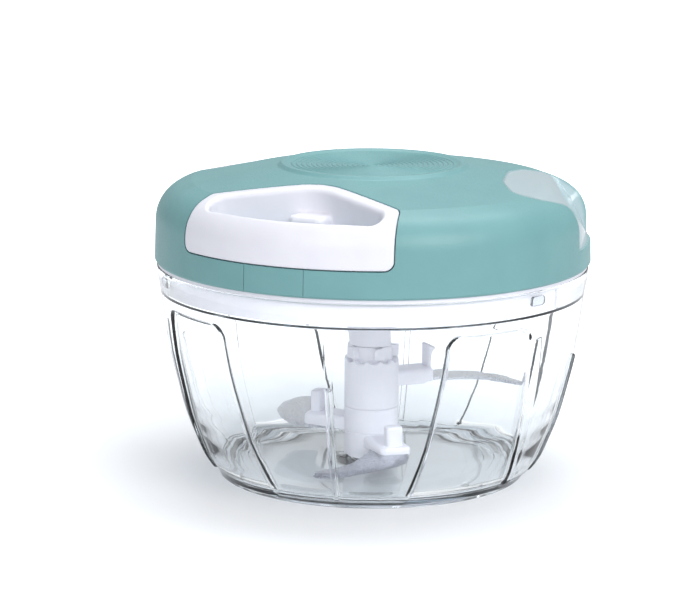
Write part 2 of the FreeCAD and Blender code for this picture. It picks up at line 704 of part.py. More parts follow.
def handle_plan(back_out, side_out, back_corner):
    """Plan of the handle moved out by the given amounts, up to a line well outside the lid."""
    slope = cosine(handle_back_slope) / sine(handle_back_slope)
    lean = sine(handle_lean) / cosine(handle_lean)
    spread = 1 / cosine(handle_back_slope)
    back_radius = handle_back_radius + back_out
    apex = handle_back - handle_back_radius * (spread - 1) - back_out * spread
    level = lid_radius - handle_side_level
    side = handle_half + side_out / cosine(handle_lean)
    corner_y = (apex * slope + side - level * lean) / (slope - lean)
    corner_x = (corner_y - apex) * slope
    far_y = lid_radius + 10
    far_x = side + (far_y - level) * lean
    return [
        (0, -apex, back_radius),
        (corner_x, -corner_y, back_corner),
        (far_x, -far_y),
        (-far_x, -far_y),
        (-corner_x, -corner_y, back_corner),
    ]


def opening_plan():
    """Plan of the finger opening: the handle's plan moved in, closed by the inside of the bar."""
    corners = handle_plan(-handle_back_wall, -handle_side_wall, handle_corner + 0.7)
    lean = sine(handle_lean) / cosine(handle_lean)
    level = lid_radius - handle_side_level
    side = handle_half - handle_side_wall / cosine(handle_lean)
    bar_inside = lid_radius - handle_bar
    bend = 20
    fall = sine(bend) / cosine(bend)
    bar_apex = bar_inside / cosine(bend)
    end_y = (bar_apex - fall * (side - level * lean)) / (1 + fall * lean)
    end_x = side + (end_y - level) * lean
    return [
        corners[0],
        corners[1],
        (end_x, -end_y, 3.8),
        (0, -bar_apex, bar_inside),
        (-end_x, -end_y, 3.8),
        corners[4],
    ]


pocket_out = handle_fit + pocket_wall
pocket_block = plate("pocket_block", handle_plan(pocket_out, pocket_out, handle_corner + pocket_out),
                     pocket_floor_top - pocket_floor, disc_top - pocket_floor_top + pocket_floor)
pocket_void = plate("pocket_void", handle_plan(handle_fit, handle_fit, handle_corner + handle_fit),
                    pocket_floor_top, disc_top - pocket_floor_top + 1)
pocket_walls = common("pocket_walls", cover_envelope, pocket_block)


cover_screw_turns = [45, 135, 225, 315]
housing_screw_turns = [60, 180, 300]
post_level = crease_level - gap * 3
axle_post = rod("axle_post", axle_radius + 3, axle_grip + 1, 0, 0, cover_boss_bottom)
posts = [axle_post]
pilots = [rod("axle_seat", axle_radius, axle_grip, 0, 0, cover_boss_bottom)]
cover_screw_parts = []
housing_screw_parts = []
cover_screw_holes = []
housing_screw_holes = []


def screw(name, x, y, under_head):
    """A pan-head screw that points up, its head's underside at the given level."""
    thread = rod(name + "_thread", screw_radius, screw_length, x, y, under_head)
    head = rod(name + "_head", screw_head_radius, screw_head_height, x, y, under_head - screw_head_height)
    slot = block(name + "_slot", screw_head_radius * 3, gap * 2, screw_head_height / 2,
                 x - screw_head_radius * 1.5, y - gap, under_head - screw_head_height)
    return cut(name, fuse(name + "_blank", [thread, head]), slot)


for place, angle in enumerate(cover_screw_turns):
    x, y = around(cover_screw_ring, angle)
    posts.append(rod("cover_post_%d" % place, screw_post_radius, post_level - plate_top, x, y, plate_top))
    pilots.append(rod("cover_pilot_%d" % place, screw_radius, screw_length - plate_thickness + gap,
                      x, y, plate_top))
    cover_screw_holes.append(rod("cover_hole_%d" % place, screw_radius + gap, plate_thickness * 3,
                                 x, y, rim_height - plate_thickness))
    cover_screw_parts.append(screw("cover_screw_%d" % place, x, y, rim_height))

roof_level = dome_top - roof_wall - gap
for place, angle in enumerate(housing_screw_turns):
    x, y = around(housing_screw_ring, angle)
    posts.append(rod("housing_post_%d" % place, screw_post_radius, roof_level - housing_floor,
                     x, y, housing_floor))
    pilots.append(rod("housing_pilot_%d" % place, screw_radius, screw_length - housing_base + gap,
                      x, y, housing_floor))
    housing_screw_holes.append(rod("housing_hole_%d" % place, screw_radius + gap, housing_base * 3,
                                   x, y, housing_bottom - housing_base))
    housing_screw_parts.append(screw("housing_screw_%d" % place, x, y, housing_bottom))


cord_port_length = pocket_wall + housing_wall + handle_fit + handle_setback + 4
cord_port = cross_rod("cord_port", eyelet_radius, cord_port_length, -(housing_outer - housing_wall - 2), cord_height)
insert_notch = block("insert_notch", insert_half * 2, 12, pocket_floor_top - pocket_floor - cover_bottom + 2,
                     -insert_half, -lid_radius - 4, cover_bottom - 2)
insert_lip_depth = lid_wall + gap * 2 + seam
insert_notch_top = block("insert_notch_top", insert_half * 2, insert_lip_depth + 4 + seam, pocket_floor + seam * 2,
                         -insert_half, -lid_radius - 4, pocket_floor_top - pocket_floor - seam)
cover_solid = fuse("cover_solid", [cover_shell, pocket_walls] + posts)
cover_openings = fuse("cover_openings", [pocket_void, cord_port, insert_notch, insert_notch_top] + pilots)
cover_opened = cut("cover_opened", cover_solid, cover_openings)
keep(cut("top_cover", cover_opened, scoop_cuts))

# Front insert: closes the cover's wall below the handle and clips behind it

insert_top = pocket_floor_top - pocket_floor - seam
insert_face = common("insert_face", cover_shell, block(
    "insert_block", (insert_half - seam) * 2, 12, insert_top - cover_bottom,
    -(insert_half - seam), -lid_radius - 4, cover_bottom))
insert_lip = common("insert_lip", cover_envelope, block(
    "insert_lip_block", (insert_half - seam) * 2, insert_lip_depth + 4, pocket_floor * 2,
    -(insert_half - seam), -lid_radius - 4, pocket_floor_top - pocket_floor * 2))
insert_tab_half = insert_half + insert_tab
insert_tab_top = cover_bottom + handle_rise / 2 - seam
insert_back_ring = ring("insert_back_ring", cavity_radius - 2.6, cavity_radius - gap * 3 + seam,
                        plate_top + seam, insert_tab_top)
insert_link_ring = ring("insert_link_ring", cavity_radius - 2.6, cavity_radius + gap,
                        plate_top + seam, insert_tab_top)
insert_back = common("insert_back", insert_back_ring, block(
    "insert_back_block", insert_tab_half * 2, 12, 20, -insert_tab_half, -lid_radius - 2, cover_bottom))
insert_link = common("insert_link", insert_link_ring, block(
    "insert_link_block", (insert_half - seam) * 2, 12, 20, -(insert_half - seam), -lid_radius - 2,
    cover_bottom))
keep(fuse("front_insert", [insert_face, insert_lip, insert_back, insert_link]))


# Inner cover and seal

bearing_bore = drive_radius + running_fit
bearing_outer = bearing_bore + bush_wall
hub_sleeve_bottom = rim_height - plate_thickness * 1.5
seal_inner = skirt_radius - seal_depth
seal_bottom = rim_height - seal_height
inner_cover_blank = turned("inner_cover_blank", [
    (bearing_outer, hub_sleeve_bottom),
    (bearing_outer + plate_thickness, hub_sleeve_bottom),
    (bearing_outer + plate_thickness, rim_height, 1),
    (skirt_radius - skirt_wall, rim_height, 1.5),
    (skirt_radius - skirt_wall, skirt_bottom),
    (skirt_radius, skirt_bottom),
    (skirt_radius, seal_bottom),
    (seal_inner, seal_bottom),
    (seal_inner, rim_height),
    (rim_radius - gap, rim_height),
    (rim_radius - gap, cover_bottom),
    (cavity_radius - gap, cover_bottom),
    (cavity_radius - gap, plate_top),
    (bearing_outer, plate_top),
])
window_ring = ring("window_ring", key_inner - gap, rim_radius, skirt_bottom - 1, key_top + 1)
windows = common("windows", window_ring, fuse("window_prisms", window_prisms))
inner_cover_cuts = fuse("inner_cover_cuts", [windows] + cover_screw_holes)
keep(cut("inner_cover", inner_cover_blank, inner_cover_cuts))
keep(ring("seal_ring", seal_inner, rim_radius - bowl_wall - running_fit * 2, seal_bottom, rim_height))
keep(group("cover_screws", cover_screw_parts))
keep(turned("drive_bearing", [
    (bearing_bore, hub_sleeve_bottom),
    (bearing_outer, hub_sleeve_bottom),
    (bearing_outer, plate_top),
    (bearing_flange, plate_top),
    (bearing_flange, plate_top + bearing_flange_height),
    (bearing_bore, plate_top + bearing_flange_height),
]))


# Reel housing and the cord's eyelet

housing_inner = housing_outer - housing_wall
housing_top = cap_top
housing_drum = turned("housing_drum", [
    (housing_bore, housing_bottom),
    (housing_outer, housing_bottom),
    (housing_outer, housing_top),
    (housing_inner, housing_top),
    (housing_inner, housing_floor),
    (housing_bore, housing_floor),
])
ears = []
for place, angle in enumerate(housing_screw_turns):
    x, y = around(housing_screw_ring, angle)
    ears.append(rod("housing_ear_%d" % place, screw_post_radius + gap, housing_base, x, y, housing_bottom))
    ear_link = side_prism("housing_link_%d" % place, [
        (-screw_post_radius, housing_bottom),
        (screw_post_radius, housing_bottom),
        (screw_post_radius, housing_floor),
        (-screw_post_radius, housing_floor),
    ], housing_screw_ring)
    ears.append(turn(ear_link, angle))
housing_hollow = ring("housing_hollow", 0, housing_inner - 1, housing_bottom - 1, housing_floor + 1)
housing_ears = cut("housing_ears", fuse("housing_ear_blanks", ears), housing_hollow)
housing_solid = fuse("housing_solid", [housing_drum, housing_ears])
keep(cut("reel_housing", housing_solid, fuse("housing_holes", housing_screw_holes + [cord_port])))
keep(group("housing_screws", housing_screw_parts))

eyelet_seat = housing_inner - gap
eyelet_length = housing_wall + handle_fit + handle_setback + pocket_wall + gap
eyelet = turned("cord_eyelet", [
    (eyelet_bore, -eyelet_flange, 0.45),
    (eyelet_radius + 1, -eyelet_flange, 0.3),
    (eyelet_radius + 1, 0),
    (eyelet_radius, 0),
    (eyelet_radius, eyelet_length),
    (eyelet_bore, eyelet_length, 0.4),
])
eyelet.Placement.Rotation = Rotation(Vector(1, 0, 0), 90)
bind(eyelet, ".Placement.Base.y", -eyelet_seat)
bind(eyelet, ".Placement.Base.z", cord_height)
keep(eyelet)


# Axle, reel, mainspring and ratchet

axle_head_top = reel_bottom - washer_thickness
keep(turned("reel_axle", [
    (0, axle_head_top - axle_head_height),
    (axle_head_radius, axle_head_top - axle_head_height),
    (axle_head_radius, axle_head_top),
    (axle_radius, axle_head_top),
    (axle_radius, roof_under),
    (0, roof_under),
]))
keep(ring("reel_washer", axle_radius + running_fit, axle_head_radius + gap, axle_head_top, reel_bottom))

reel_bore = axle_radius + running_fit + bush_wall
web_top = reel_bottom + reel_web
keep(ring("reel_bush", axle_radius + running_fit, reel_bore, reel_bottom, web_top + bush_wall))
reel_blank = turned("reel_blank", [
    (reel_bore, reel_bottom),
    (flange_radius, reel_bottom),
    (flange_radius, groove_bottom),
    (drum_radius, groove_bottom),
    (drum_radius, groove_top),
    (flange_radius, groove_top),
    (flange_radius, reel_top),
    (spring_room_radius, reel_top),
    (spring_room_radius, web_top),
    (reel_bore, web_top),
])
pawl_turns = [0, 120, 240]
pawl_pin_parts = []
pawl_parts = []
pawl_reach = ratchet_radius - gap
pawl_corners = [
    (-1.8, -(pawl_ring - 2)),
    (2.0, -(pawl_ring - 1), 1.0),
    (pawl_reach * sine(17), -(pawl_reach * cosine(17))),
    (pawl_reach * sine(12), -(pawl_reach * cosine(12))),
    (-1.8, -(pawl_ring + 2), 1.0),
]
for place, angle in enumerate(pawl_turns):
    x, y = around(pawl_ring, angle)
    pawl_pin_parts.append(rod("pawl_pin_%d" % place, pawl_pin_radius, pawl_height + gap + reel_web / 2,
                              x, y, pawl_bottom))
    bore = rod("pawl_bore_%d" % place, pawl_pin_radius + running_fit, pawl_height * 3,
               x, y, pawl_bottom - pawl_height)
    pawl_plan = turn(plate("pawl_plan_%d" % place, pawl_corners, pawl_bottom, pawl_height), angle)
    pawl_parts.append(cut("pawl_%d" % place, pawl_plan, bore))
pawl_pins = group("pawl_pins", pawl_pin_parts)
keep(cut("reel", reel_blank, fuse("pawl_pin_seats", pawl_pin_parts)))
keep(group("ratchet_pawls", pawl_parts))
keep(pawl_pins)
keep(ring("spring_cap", axle_radius + gap * 2, spring_room_radius + 1.2, reel_top, cap_top))
keep(ring("cord_windings", drum_radius + running_fit, drum_radius + cord_radius * 2,
          groove_bottom + seam, groove_top - seam))


def spiral_strip(inside, outside, turns, thickness, bottom, height):
    """A flat spiral spring as a closed solid: two spirals joined at their ends and raised."""
    steps = 16 * int(turns)
    pitch = (outside - inside - thickness) / turns
    inner_points = []
    outer_points = []
    for step in range(steps + 1):
        angle = 2 * math.pi * turns * step / steps
        radius = inside + pitch * turns * step / steps
        direction = Vector(math.cos(angle), math.sin(angle), 0)
        inner_points.append(direction * radius + Vector(0, 0, bottom))
        outer_points.append(direction * (radius + thickness) + Vector(0, 0, bottom))
    inner = Part.BSplineCurve()
    inner.interpolate(inner_points)
    outer = Part.BSplineCurve()
    outer.interpolate(outer_points)
    edges = [
        inner.toShape(),
        Part.LineSegment(inner_points[-1], outer_points[-1]).toShape(),
        outer.toShape(),
        Part.LineSegment(outer_points[0], inner_points[0]).toShape(),
    ]
    face = Part.Face(Part.Wire(Part.__sortEdges__(edges)))
    return face.extrude(Vector(0, 0, height))


spring_bottom = web_top + bush_wall + gap
keep(shaped("mainspring", spiral_strip(
    float(axle_radius + bush_wall),
    float(spring_room_radius - gap),
    spring_turns.number,
    float(spring_wire),
    float(spring_bottom),
    float(reel_top - gap - spring_bottom))))


# Drive hub: ratchet cup at the top, six-sided socket at the bottom

nose_bottom = rim_height - drive_reach
collar_bottom = plate_top + bearing_flange_height + running_fit * 2
cup_radius = ratchet_radius + tooth_depth + ratchet_wall
drive_blank = turned("drive_blank", [
    (0, nose_bottom),
    (drive_nose - nose_taper, nose_bottom),
    (drive_nose, nose_bottom + nose_taper * 7),
    (drive_nose, hub_sleeve_bottom - gap),
    (drive_radius, hub_sleeve_bottom - gap),
    (drive_radius, collar_bottom),
    (drive_collar, collar_bottom),
    (drive_collar, collar_bottom + drive_collar_height),
    (drive_radius, collar_bottom + drive_collar_height),
    (drive_radius, cup_bottom),
    (cup_radius, cup_bottom),
    (cup_radius, pawl_top),
    (0, pawl_top),
])
tooth_angle = 360 / ratchet_teeth
ratchet_corners = []
for tooth in range(int(ratchet_teeth.number)):
    ratchet_corners.append(around(ratchet_radius, tooth_angle * tooth))
    ratchet_corners.append(around(ratchet_radius + tooth_depth, tooth_angle * (tooth + 0.9)))
ratchet_room = plate("ratchet_room", ratchet_corners, cup_floor_top, pawl_top - cup_floor_top + 1)


def six_sided(name, corner_radius, bottom, height):
    corners = [around(corner_radius, 60 * side + 30) for side in range(6)]
    return plate(name, corners, bottom, height)


socket = six_sided("socket", spline_radius + spline_fit, nose_bottom - 1, socket_depth + 1)
nose_flat = turn(plate("nose_flat", [
    (-drive_nose, -spline_radius - gap * 3),
    (drive_nose, -spline_radius - gap * 3),
    (drive_nose, -drive_nose * 2),
    (-drive_nose, -drive_nose * 2),
], nose_bottom - 1, nose_taper * 10), lug_turn)
keep(cut("drive_hub", drive_blank, fuse("drive_hollows", [ratchet_room, socket, nose_flat])))


# Pull handle, the cord and its knot

handle_height = disc_top - handle_bottom
handle_block = plate("handle_block", handle_plan(as_size(0), as_size(0), handle_corner),
                     handle_bottom, handle_height)
handle_skin = common("handle_skin", cover_envelope, handle_block)
finger_prism = plate("finger_prism", opening_plan(), handle_bottom - 1, handle_height + 2)
handle_loop = cut("handle_loop", handle_skin, finger_prism)
nub_back = handle_back + handle_back_wall / 2
nub_front = handle_back + handle_back_wall + nub_depth
nub = plate("cord_block", [
    (nub_width / 2, -nub_back),
    (nub_width / 2, -nub_front, 2.5),
    (-nub_width / 2, -nub_front, 2.5),
    (-nub_width / 2, -nub_back),
], handle_bottom, nub_height)
shelf_block = block("shelf_block", handle_half * 2, nub_front - handle_back, handle_shelf,
                    -handle_half, -nub_front, handle_bottom)
handle_shelf_part = common("handle_shelf_part", handle_skin, shelf_block)
handle_solid = fuse("handle_solid", [handle_loop, nub, handle_shelf_part])
knot_place = handle_back + handle_back_wall + nub_depth / 2
knot_room = rod("knot_room", knot_radius + gap, nub_height - 1.2, 0, -knot_place, handle_bottom)
cord_hole = cross_rod("cord_hole", cord_radius + gap, knot_place - handle_back + 1, -(handle_back - 1), cord_height)
keep(cut("pull_handle", handle_solid, fuse("handle_holes", [knot_room, cord_hole])))
knot = doc.addObject("Part::Sphere", "cord_knot")
knot.Label = "cord_knot"
bind(knot, "Radius", knot_radius)
bind(knot, ".Placement.Base.y", -knot_place)
bind(knot, ".Placement.Base.z", cord_height)
keep(knot)


def cord_tube(points, bend, radius):
    """Two straight runs of cord joined by one tangent bend."""
    start, corner, end = points
    before = (corner - start).normalize()
    after = (end - corner).normalize()
    turned_by = math.acos(before.dot(after))
    back = bend * math.tan(turned_by / 2)
    leave = corner - before * back
    join = corner + after * back
    inward = (after - before).normalize()
    centre = corner + inward * (bend / math.cos(turned_by / 2))
    middle = centre - inward * bend
    edges = [
        Part.LineSegment(start, leave).toShape(),
        Part.Arc(leave, middle, join).toShape(),
        Part.LineSegment(join, end).toShape(),
    ]
    path = Part.Wire(edges)
    section = Part.Wire(Part.makeCircle(radius, start, before))
    tube = path.makePipeShell([section], True, False)
    length = path.Length
    print("cord run: length %.1f, bend radius %.1f, volume ratio %.3f"
          % (length, bend, tube.Volume / (math.pi * radius ** 2 * length)))
    return tube


wound_radius = float(drum_radius + cord_radius)
mouth = float(eyelet_seat - eyelet_flange)
leaving = math.acos(wound_radius / mouth)
cord_level = float(cord_height)
off_reel = Vector(-wound_radius * math.sin(leaving), -wound_radius * math.cos(leaving), cord_level)
at_mouth = Vector(0, -mouth, cord_level)
at_knot = Vector(0, -float(knot_place - knot_radius - gap), cord_level)
cord_shape = cord_tube([off_reel, at_mouth, at_knot], float(cord_radius * 2.6), float(cord_radius))
wound = Part.makeCylinder(float(drum_radius + cord_radius * 2 + seam), float(cord_radius * 8),
                          Vector(0, 0, float(cord_height - cord_radius * 4)))
keep(shaped("cord_run", cord_shape.cut(wound)))


# Blade stack: shaft and bush, three sleeves with an arm each, three blades

stack_bottom = boss_top
middle_base = stack_bottom + lower_sleeve
upper_base = middle_base + middle_sleeve
stack_top = upper_base + upper_sleeve
shaft_top = nose_bottom - gap
bush_top = stack_bottom + pin_height - gap * 2
shaft_blank = turned("shaft_blank", [
    (shaft_bore, stack_bottom),
    (shaft_radius, stack_bottom),
    (shaft_radius, shaft_top),
    (0, shaft_top),
    (0, bush_top + 2),
    (shaft_bore, bush_top + 2),
])
spline = six_sided("spline", spline_radius, shaft_top - 1, spline_length + 1)
lugs = []
lug_corners = [
    (-1.6, stack_top + gap),
    (1.6, stack_top + gap),
    (1.6, stack_top + collar_height, 1.1),
    (-1.6, stack_top + collar_height, 1.1),
]
for place in range(5):
    lug = side_prism("lug_prism_%d" % place, lug_corners, flute_reach)
    lugs.append(turn(lug, lug_turn + 72 * place))
lug_ring = ring("lug_ring", shaft_radius - 1, shaft_radius + collar_lug, stack_top, stack_top + collar_height + 1)
shaft_lugs = common("shaft_lugs", lug_ring, fuse("lug_prisms", lugs))
keep(fuse("blade_shaft", [shaft_blank, spline, shaft_lugs]))
keep(ring("shaft_bush", pin_radius + running_fit, shaft_bore, stack_bottom, bush_top))

# Plans of the blades, measured outwards along the arm and sideways from it, in parts of the blades'
# reach: the upper blade's tip lies 47.3 parts from the axis
blade_part = (heel_radius - bowl_wall - blade_room) / 47.3
lower_plan = [
    (10.5, 4.2),
    (21.0, 4.6, 10),
    (27.5, -1.0, 20),
    (33.0, -12.5, 30),
    (35.6, -23.0, 12),
    (34.2, -29.9, 2.5),
    (31.0, -30.2, 0.8),
    (27.6, -20.5, 24),
    (22.5, -13.0, 20),
    (15.5, -7.0, 10),
    (10.5, -4.6),
]
middle_plan = [
    (10.5, 4.6),
    (18.5, 6.8, 6),
    (24.5, 5.0, 10),
    (31.5, -0.8, 20),
    (37.0, -8.5, 14),
    (38.9, -16.0, 12),
    (37.5, -23.5, 5),
    (33.2, -27.2, 1.0),
    (31.4, -26.2, 0.8),
    (29.0, -17.5, 22),
    (21.5, -9.0, 20),
    (10.5, -4.6),
]
upper_plan = [
    (10.5, 4.6),
    (20.0, 8.0, 8),
    (30.0, 8.6, 14),
    (38.0, 4.6, 12),
    (42.0, -4.5, 25),
    (44.2, -14.0, 14),
    (43.8, -19.3, 1.2),
    (42.2, -19.9, 0.8),
    (37.0, -9.5, 18),
    (31.0, -4.0, 14),
    (20.0, -2.2, 20),
    (10.5, -4.4),
]


def blade(name, plan, lift, angle):
    """A flat sickle, its tip side tilted a little upwards about the arm, turned to its place."""
    body = new_body(name)
    sketch = new_sketch(body, name + "_plan", "XY_Plane")
    outline(sketch, [[blade_part * number for number in corner] for corner in plan])
    sketch.AttachmentOffset = Placement(Vector(0, 0, 0), Rotation(Vector(-1, 0, 0), 1))
    bind(sketch, ".AttachmentOffset.Base.z", lift)
    bind(sketch, ".AttachmentOffset.Rotation.Angle", blade_tilt)
    pad = body.newObject("PartDesign::Pad", name + "_pad")
    pad.Profile = sketch
    pad.Midplane = True
    bind(pad, "Length", blade_steel)
    return turn(body, angle - 90)


def sleeve(name, bottom, height, arm, stub, angle, steel, scallops=0):
    """A ring round the shaft with one arm and its upright stub, with room for the blade's root.

    The arm is given by its underside above the sleeve's own, its height and its reach; the stub by
    its distance in from the arm's end and its height above the arm.
    """
    lift, arm_height, reach = arm
    inset, rise = stub
    outside, inside = reach - inset, reach - inset - stub_thickness
    hub = ring(name + "_hub", shaft_radius, sleeve_radius, bottom, bottom + height)
    arm_solid = turn(plate(name + "_arm", [
        (-arm_width / 2, 0),
        (arm_width / 2, 0),
        (arm_width / 2, -reach, arm_rounding),
        (-arm_width / 2, -reach, arm_rounding),
    ], bottom + lift, arm_height), angle)
    stub_solid = turn(plate(name + "_stub", [
        (-stub_width / 2, -inside, stub_rounding),
        (stub_width / 2, -inside, stub_rounding),
        (stub_width / 2, -outside, stub_rounding),
        (-stub_width / 2, -outside, stub_rounding),
    ], bottom + lift, arm_height + rise), angle)
    hole = rod(name + "_hole", shaft_radius, height * 2, 0, 0, bottom - height / 2)
    removed = [hole, steel]
    for place in range(scallops):
        scallop = rod(name + "_scallop_%d" % place, scallop_radius, sleeve_radius * 2, 0, 0, 0)
        scallop.Placement.Rotation = Rotation(Vector(0, 0, 1), 360 / scallops * place) * Rotation(Vector(0, 1, 0), 90)
        bind(scallop, ".Placement.Base.z", bottom + height - scallop_depth + scallop_radius)
        removed.append(scallop)
    solid = fuse(name + "_solid", [hub, arm_solid, stub_solid])
    return cut(name, solid, fuse(name + "_room", removed))


blade_lower = keep(blade("blade_lower", lower_plan, stack_bottom + lower_arm_lift + blade_seat, lower_turn))
blade_middle = keep(blade("blade_middle", middle_plan, middle_base + middle_arm_lift + blade_seat, middle_turn))
blade_upper = keep(blade("blade_upper", upper_plan, upper_base + upper_arm_lift + blade_seat, upper_turn))
keep(sleeve("sleeve_lower", stack_bottom, lower_sleeve, (lower_arm_lift, lower_arm_height, arm_reach),
            (stub_inset, stub_height), lower_turn, blade_lower))
keep(sleeve("sleeve_middle", middle_base, middle_sleeve, (middle_arm_lift, middle_arm_height, arm_reach),
            (stub_inset, stub_height), middle_turn, blade_middle))
keep(sleeve("sleeve_upper", upper_base, upper_sleeve, (upper_arm_lift, upper_arm_height, upper_arm_reach),
            (seam, upper_stub_height), upper_turn, blade_upper, 12))


# Check every object, then write each piece

doc.recompute()
faults = []
for thing in doc.Objects:
    if "Invalid" in thing.State or "Error" in thing.State:
        faults.append(thing.Label + ": " + ", ".join(thing.State))
for piece in handed_in:
    if piece.Shape.isNull() or not piece.Shape.isValid() or not piece.Shape.Solids:
        faults.append(piece.Label + ": no valid shape")
if faults:
    raise RuntimeError("\n".join(faults))

os.makedirs("parts", exist_ok=True)
for piece in handed_in:
    piece.Shape.exportStep("parts/" + piece.Label + ".step")
    print("%-16s solids %d  volume %.0f" % (piece.Label, len(piece.Shape.Solids), piece.Shape.Volume))
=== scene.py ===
"""Pull-string food chopper, dressed for its picture.

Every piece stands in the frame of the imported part: metres, the origin at the centre of the foot,
Z up, the pull handle on the -Y side. Shapes are worked out in millimetres and scaled at the end.
Turns are degrees round the axis, from the handle side towards +X.
"""

import json
import math

import bmesh
import bpy
import numpy as np
from mathutils import Euler, Matrix, Vector


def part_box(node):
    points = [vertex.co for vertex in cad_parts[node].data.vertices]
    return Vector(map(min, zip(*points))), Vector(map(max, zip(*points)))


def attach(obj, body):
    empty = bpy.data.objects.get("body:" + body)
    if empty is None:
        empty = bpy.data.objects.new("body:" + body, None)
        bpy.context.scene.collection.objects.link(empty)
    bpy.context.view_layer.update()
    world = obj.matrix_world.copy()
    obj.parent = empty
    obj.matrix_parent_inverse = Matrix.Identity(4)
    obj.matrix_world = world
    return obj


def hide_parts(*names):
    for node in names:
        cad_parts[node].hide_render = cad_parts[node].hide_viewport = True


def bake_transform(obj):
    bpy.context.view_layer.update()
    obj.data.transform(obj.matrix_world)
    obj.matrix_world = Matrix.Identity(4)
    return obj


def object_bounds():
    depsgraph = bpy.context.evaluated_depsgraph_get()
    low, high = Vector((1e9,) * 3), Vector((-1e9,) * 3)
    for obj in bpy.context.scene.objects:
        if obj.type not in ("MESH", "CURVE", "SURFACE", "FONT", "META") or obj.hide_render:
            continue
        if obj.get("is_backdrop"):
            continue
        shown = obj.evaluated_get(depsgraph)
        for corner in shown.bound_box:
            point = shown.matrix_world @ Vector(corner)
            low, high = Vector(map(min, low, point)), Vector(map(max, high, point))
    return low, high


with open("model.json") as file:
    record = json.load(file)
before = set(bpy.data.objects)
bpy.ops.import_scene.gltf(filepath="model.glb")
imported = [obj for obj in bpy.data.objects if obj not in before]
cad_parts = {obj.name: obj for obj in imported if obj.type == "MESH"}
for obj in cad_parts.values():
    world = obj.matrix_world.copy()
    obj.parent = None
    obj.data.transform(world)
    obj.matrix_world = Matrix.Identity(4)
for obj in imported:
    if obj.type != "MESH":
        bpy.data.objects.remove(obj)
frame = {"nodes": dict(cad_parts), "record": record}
cad_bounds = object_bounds()

MM = 0.001


def cad_box(node):
    """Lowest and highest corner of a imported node, in millimetres."""
    low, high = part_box(node)
    return low / MM, high / MM


# Sizes, taken from the frame where it has them, in millimetres

lid_low, lid_high = cad_box("top_cover")
_, bowl_high = cad_box("bowl")
handle_low, _ = cad_box("pull_handle")
lid_radius = lid_high.x
lid_edge = lid_low.z
lid_top = lid_high.z
rim_height = bowl_high.z
rim_radius = lid_radius - 0.6
bowl_wall = 2.0
foot_radius = rim_radius - 18.4
foot_height = 2.2
foot_recess = 1.2
floor_top = foot_recess + 2.4
boss_top = floor_top + 0.5
pin_hole = 2.56
pin_depth = 2.4
flute_depth = 0.9
flute_top = rim_height - 10.6
flute_foot_half = 17.2
flute_top_half = 14.0
flute_turn = 59.0
flute_foot = 1.75
flute_corner = 4.5
rib_top = rim_height - 25.2
rib_half = 0.95
rib_proud = 0.8
key_turn = math.radians(73.7)
key_level = rim_height - 3.1
key_half_width = 2.75
key_half_height = 1.3
ledge_top = rim_height - 7.0
ledge_drop = 0.85


# Mesh helpers

def rounded_line(corners, closed=False, arc=7.0):
    """Points along a line of straight sides. A corner's third value is its rounding."""
    count = len(corners)
    points = []
    for i, corner in enumerate(corners):
        here = np.array(corner[:2], float)
        radius = corner[2] if len(corner) > 2 else 0
        if not radius or (not closed and i in (0, count - 1)):
            points.append(here)
            continue
        before = here - np.array(corners[i - 1][:2], float)
        after = np.array(corners[(i + 1) % count][:2], float) - here
        before /= np.linalg.norm(before)
        after /= np.linalg.norm(after)
        bend = math.acos(max(-1, min(1, float(before @ after))))
        back = radius * math.tan(bend / 2)
        side = math.copysign(1, before[0] * after[1] - before[1] * after[0])
        start = here - before * back
        centre = start + np.array([-before[1], before[0]]) * side * radius
        steps = max(2, math.ceil(math.degrees(bend) / arc))
        for step in range(steps + 1):
            angle = side * bend * step / steps
            spoke = start - centre
            points.append(centre + np.array([
                spoke[0] * math.cos(angle) - spoke[1] * math.sin(angle),
                spoke[0] * math.sin(angle) + spoke[1] * math.cos(angle)]))
    return np.array(points)


def divided(points, longest):
    """The same line with its long straight runs cut into shorter ones."""
    result = [points[0]]
    for start, end in zip(points[:-1], points[1:]):
        pieces = max(1, math.ceil(np.linalg.norm(end - start) / longest))
        result += [start + (end - start) * k / pieces for k in range(1, pieces + 1)]
    return np.array(result)


def smooth_step(low, high, value):
    """0 below the low value, 1 above the high one, and a soft curve between."""
    share = np.clip((value - low) / (high - low), 0, 1)
    return share * share * (3 - 2 * share)


def new_piece(name, points, faces):
    """An object from points in millimetres."""
    mesh = bpy.data.meshes.new(name)
    mesh.from_pydata(np.asarray(points, float) * MM, [], faces)
    mesh.validate()
    piece = bpy.data.objects.new(name, mesh)
    bpy.context.scene.collection.objects.link(piece)
    return piece


def lathe_faces(rows, columns, start_pole=False, end_pole=False):
    """Faces of a closed-round grid whose rows run along the section and whose columns run round."""
    faces = []
    first = 1 if start_pole else 0
    for row in range(rows - 1):
        a, b = first + row * columns, first + (row + 1) * columns
        faces += [(a + k, a + (k + 1) % columns, b + (k + 1) % columns, b + k) for k in range(columns)]
    if start_pole:
        faces += [(0, first + (k + 1) % columns, first + k) for k in range(columns)]
    if end_pole:
        last = first + (rows - 1) * columns
        pole = first + rows * columns
        faces += [(last + k, last + (k + 1) % columns, pole) for k in range(columns)]
    return faces


def ring_faces(rows, columns):
    """Faces of a grid that closes both round the axis and along its section."""
    last = (rows - 1) * columns
    return lathe_faces(rows, columns) + [(last + k, last + (k + 1) % columns, (k + 1) % columns, k)
                                         for k in range(columns)]


